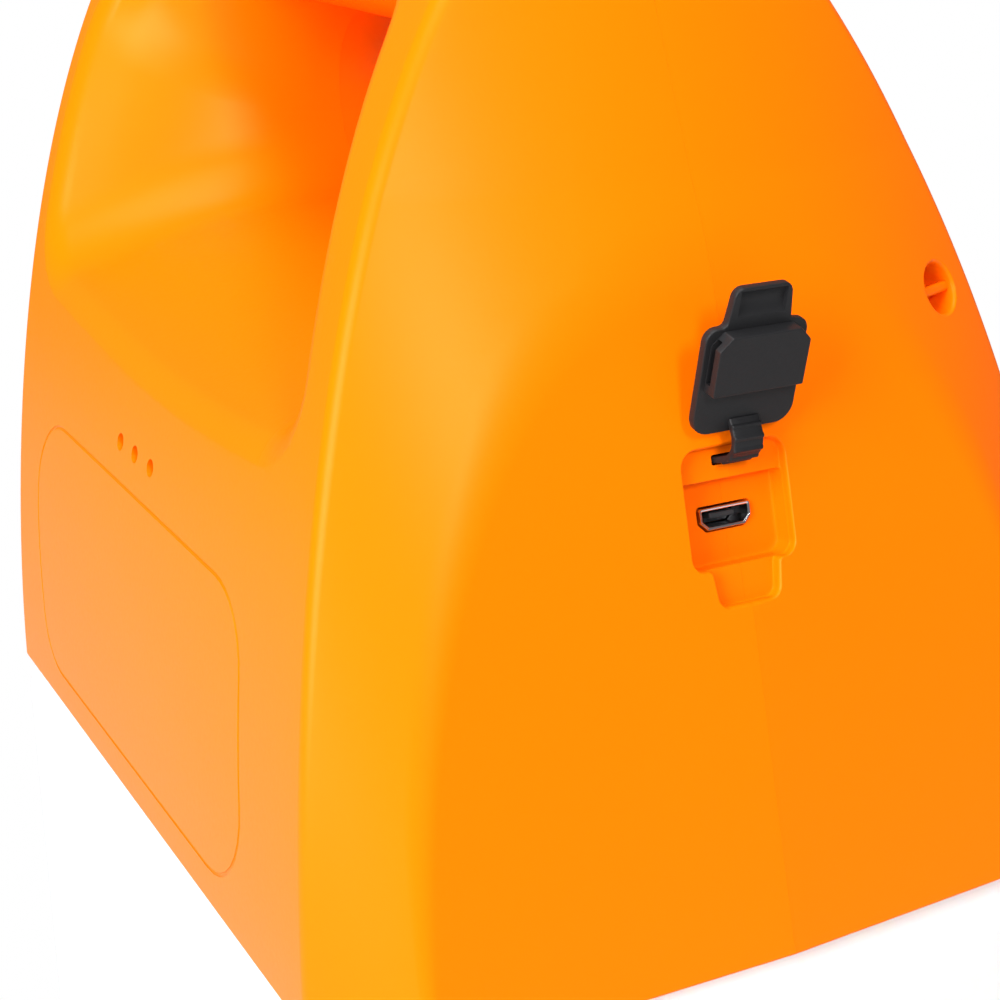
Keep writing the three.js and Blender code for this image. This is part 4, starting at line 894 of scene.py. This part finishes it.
mirror = brushed_metal("mirror", (0.92, 0.92, 0.93), 0.06)
gasket_low = LENS_TOP - LENS_THICK - 0.3 - 1.6
reflector_rim = gasket_low - 0.3
BOWL_STEPS = 24
BOWL_WALL = 1.2
bowl_widening = LENS_RADIUS - 1.4 - REFLECTOR_NECK
bowl = []
for step in range(BOWL_STEPS + 1):
    share = step / BOWL_STEPS
    radius = REFLECTOR_NECK + bowl_widening * math.sqrt(share)
    bowl.append((radius, reflector_rim - REFLECTOR_DEPTH * (1 - share)))
outer_bowl = [
    (radius + BOWL_WALL, height)
    for radius, height in bowl
    if radius + BOWL_WALL < LENS_RADIUS and height < reflector_rim - BOWL_WALL
]
reflector = turn(
    "reflector_bowl",
    [*outer_bowl, (LENS_RADIUS, reflector_rim - BOWL_WALL), (LENS_RADIUS, reflector_rim)],
    spot_place,
    128,
)
low_radius, low_height = bowl[0]
bowl_inside = [(low_radius, low_height - 2), *bowl, (bowl[-1][0], reflector_rim + 1)]
carve(reflector, turn("bowl_inside", bowl_inside, spot_place, 128))
fit(reflector, mirror, "lamp", "mirror", "spotlight_reflector", angle=40)
dress(cad["spotlight_gasket"], rubber)
dress(cad["spotlight_led_board"], white_board)
dress(cad["spotlight_heat_sink"], aluminium)
dress(cad["spotlight_lock_ring"], dark_plastic)

# Power button: a soft black cap that comes up through the top of the handle, with a dished
# face and a fine raised ring. Its flange is held under the wall, above the switch.
BUTTON_RADIUS = 6.0
BUTTON_PROUD = 1.2
BUTTON_EDGE = 0.9
cap_edge = [
    (
        BUTTON_RADIUS - BUTTON_EDGE + BUTTON_EDGE * math.cos(a),
        BUTTON_PROUD - BUTTON_EDGE + BUTTON_EDGE * math.sin(a),
    )
    for a in quarter_round(6)
]
WALL_UNDER = -5.0
cap = turn(
    "button_cap",
    [
        (1.8, WALL_UNDER - 3.2),
        (1.8, WALL_UNDER - 1.2),
        (7.3, WALL_UNDER - 1.2),
        (7.4, WALL_UNDER - 1.1),
        (7.4, WALL_UNDER - 0.1),
        (7.3, WALL_UNDER),
        (BUTTON_RADIUS, WALL_UNDER),
        *cap_edge,
        (4.6, BUTTON_PROUD),
        (4.35, BUTTON_PROUD - 0.05),
        (3.2, BUTTON_PROUD - 0.35),
        (1.6, BUTTON_PROUD - 0.55),
        (0.2, BUTTON_PROUD - 0.6),
    ],
    button_place,
)
fit(cap, rubber, "button", "black_rubber", "power_button", angle=40)
dress(cad["switch_plunger"], white_board)
dress(cad["switch_body"], dark_plastic)

# Shell screws: six self-tapping steel screws with a low round head and a cross recess, run
# in from the right through that half's bosses into the left half.
for name, (y, z, seat) in SCREW_PLACES.items():
    drive = Matrix.Translation(at(0, y, z)) @ Matrix.Rotation(math.pi / 2, 4, "Y")
    under = -seat - 0.3
    screw = turn(
        f"screw_{name}",
        [
            (2.5, under - 2.2),
            (2.9, under - 1.95),
            (3.1, under - 1.4),
            (3.1, under - 0.15),
            (3.0, under),
            (1.5, under),
            (1.5, 11.5),
            (0.3, 13),
        ],
        drive,
        64,
    )
    for wide, tall in ((1.6, 0.5), (0.5, 1.6)):
        arm = [(wide, tall, 0.15), (-wide, tall, 0.15), (-wide, -tall, 0.15), (wide, -tall, 0.15)]
        cross_levels = [(under - 3, 0, 0), (under - 2.2, 0, 0), (under - 1.3, -0.12, 0)]
        carve(screw, sunk("cross", arm, cross_levels, drive))
    fit(screw, steel, "lamp", "steel", f"shell_screw_{name}")

# Floor, lights and camera: a floor and a surround that show plain white, and light the lamp
# only as a darker grey would. One soft light stands at the left side, a weaker one behind the
# camera and a broad one above.
alone()
bpy.ops.mesh.primitive_plane_add(size=1.8, location=(0, 0, -0.0001))
floor = bpy.context.object
floor.name = "studio_floor"
paper = moulded(
    "studio_paper", (0.55, 0.55, 0.55), 0.9, grain=0.02, grain_size=300, drift=0.004, specular=0.1
)
nodes, links = paper.node_tree.nodes, paper.node_tree.links
lit_paper = nodes.new("ShaderNodeEmission")
lit_paper.inputs["Color"].default_value = (1, 1, 1, 1)
lit_paper.inputs["Strength"].default_value = 1.0
paper_ray = nodes.new("ShaderNodeLightPath")
paper_mix = nodes.new("ShaderNodeMixShader")
links.new(paper_ray.outputs["Is Camera Ray"], paper_mix.inputs["Fac"])
links.new(nodes["Principled BSDF"].outputs["BSDF"], paper_mix.inputs[1])
links.new(lit_paper.outputs["Emission"], paper_mix.inputs[2])
links.new(paper_mix.outputs["Shader"], nodes["Material Output"].inputs["Surface"])
dress(floor, paper)

world = bpy.data.worlds.new("studio")
world.use_nodes = True
seen = world.node_tree.nodes["Background"]
seen.inputs["Color"].default_value = (1, 1, 1, 1)
lighting = world.node_tree.nodes.new("ShaderNodeBackground")
lighting.inputs["Color"].default_value = (1, 1, 1, 1)
lighting.inputs["Strength"].default_value = 0.16
which = world.node_tree.nodes.new("ShaderNodeLightPath")
both = world.node_tree.nodes.new("ShaderNodeMixShader")
world.node_tree.links.new(which.outputs["Is Camera Ray"], both.inputs["Fac"])
world.node_tree.links.new(lighting.outputs["Background"], both.inputs[1])
world.node_tree.links.new(seen.outputs["Background"], both.inputs[2])
world.node_tree.links.new(both.outputs["Shader"], world.node_tree.nodes["World Output"].inputs["Surface"])
bpy.context.scene.world = world
bpy.context.scene.view_settings.view_transform = "Standard"


def soft_light(name, place, target, size, power):
    alone()
    aim = (Vector(target) - Vector(place)).to_track_quat("-Z", "Y").to_euler()
    bpy.ops.object.light_add(type="AREA", location=place, rotation=aim)
    lamp = bpy.context.object
    lamp.name = name
    lamp.data.shape = "RECTANGLE"
    lamp.data.size, lamp.data.size_y = size
    lamp.data.energy = power


soft_light("side_softbox", (1.05, 0.45, 0.55), (0, 0, 0.13), (0.6, 0.8), 24)
soft_light("back_softbox", (0.2, 1.2, 0.88), (0, 0, 0.16), (0.2, 0.34), 10)
soft_light("top_softbox", (0.2, 0.15, 1.4), (0, 0, 0.12), (0.9, 0.9), 16)

alone()
bpy.ops.object.camera_add(location=(0.12971, 0.24426, 0.21665))
camera = bpy.context.object
camera.name = "camera"
look = Vector((-0.448, -0.823, -0.349))
camera.rotation_euler = look.to_track_quat("-Z", "Y").to_euler()
camera.data.lens = 68.5
camera.data.sensor_width = 36
camera.data.clip_start = 0.01
bpy.context.scene.camera = camera
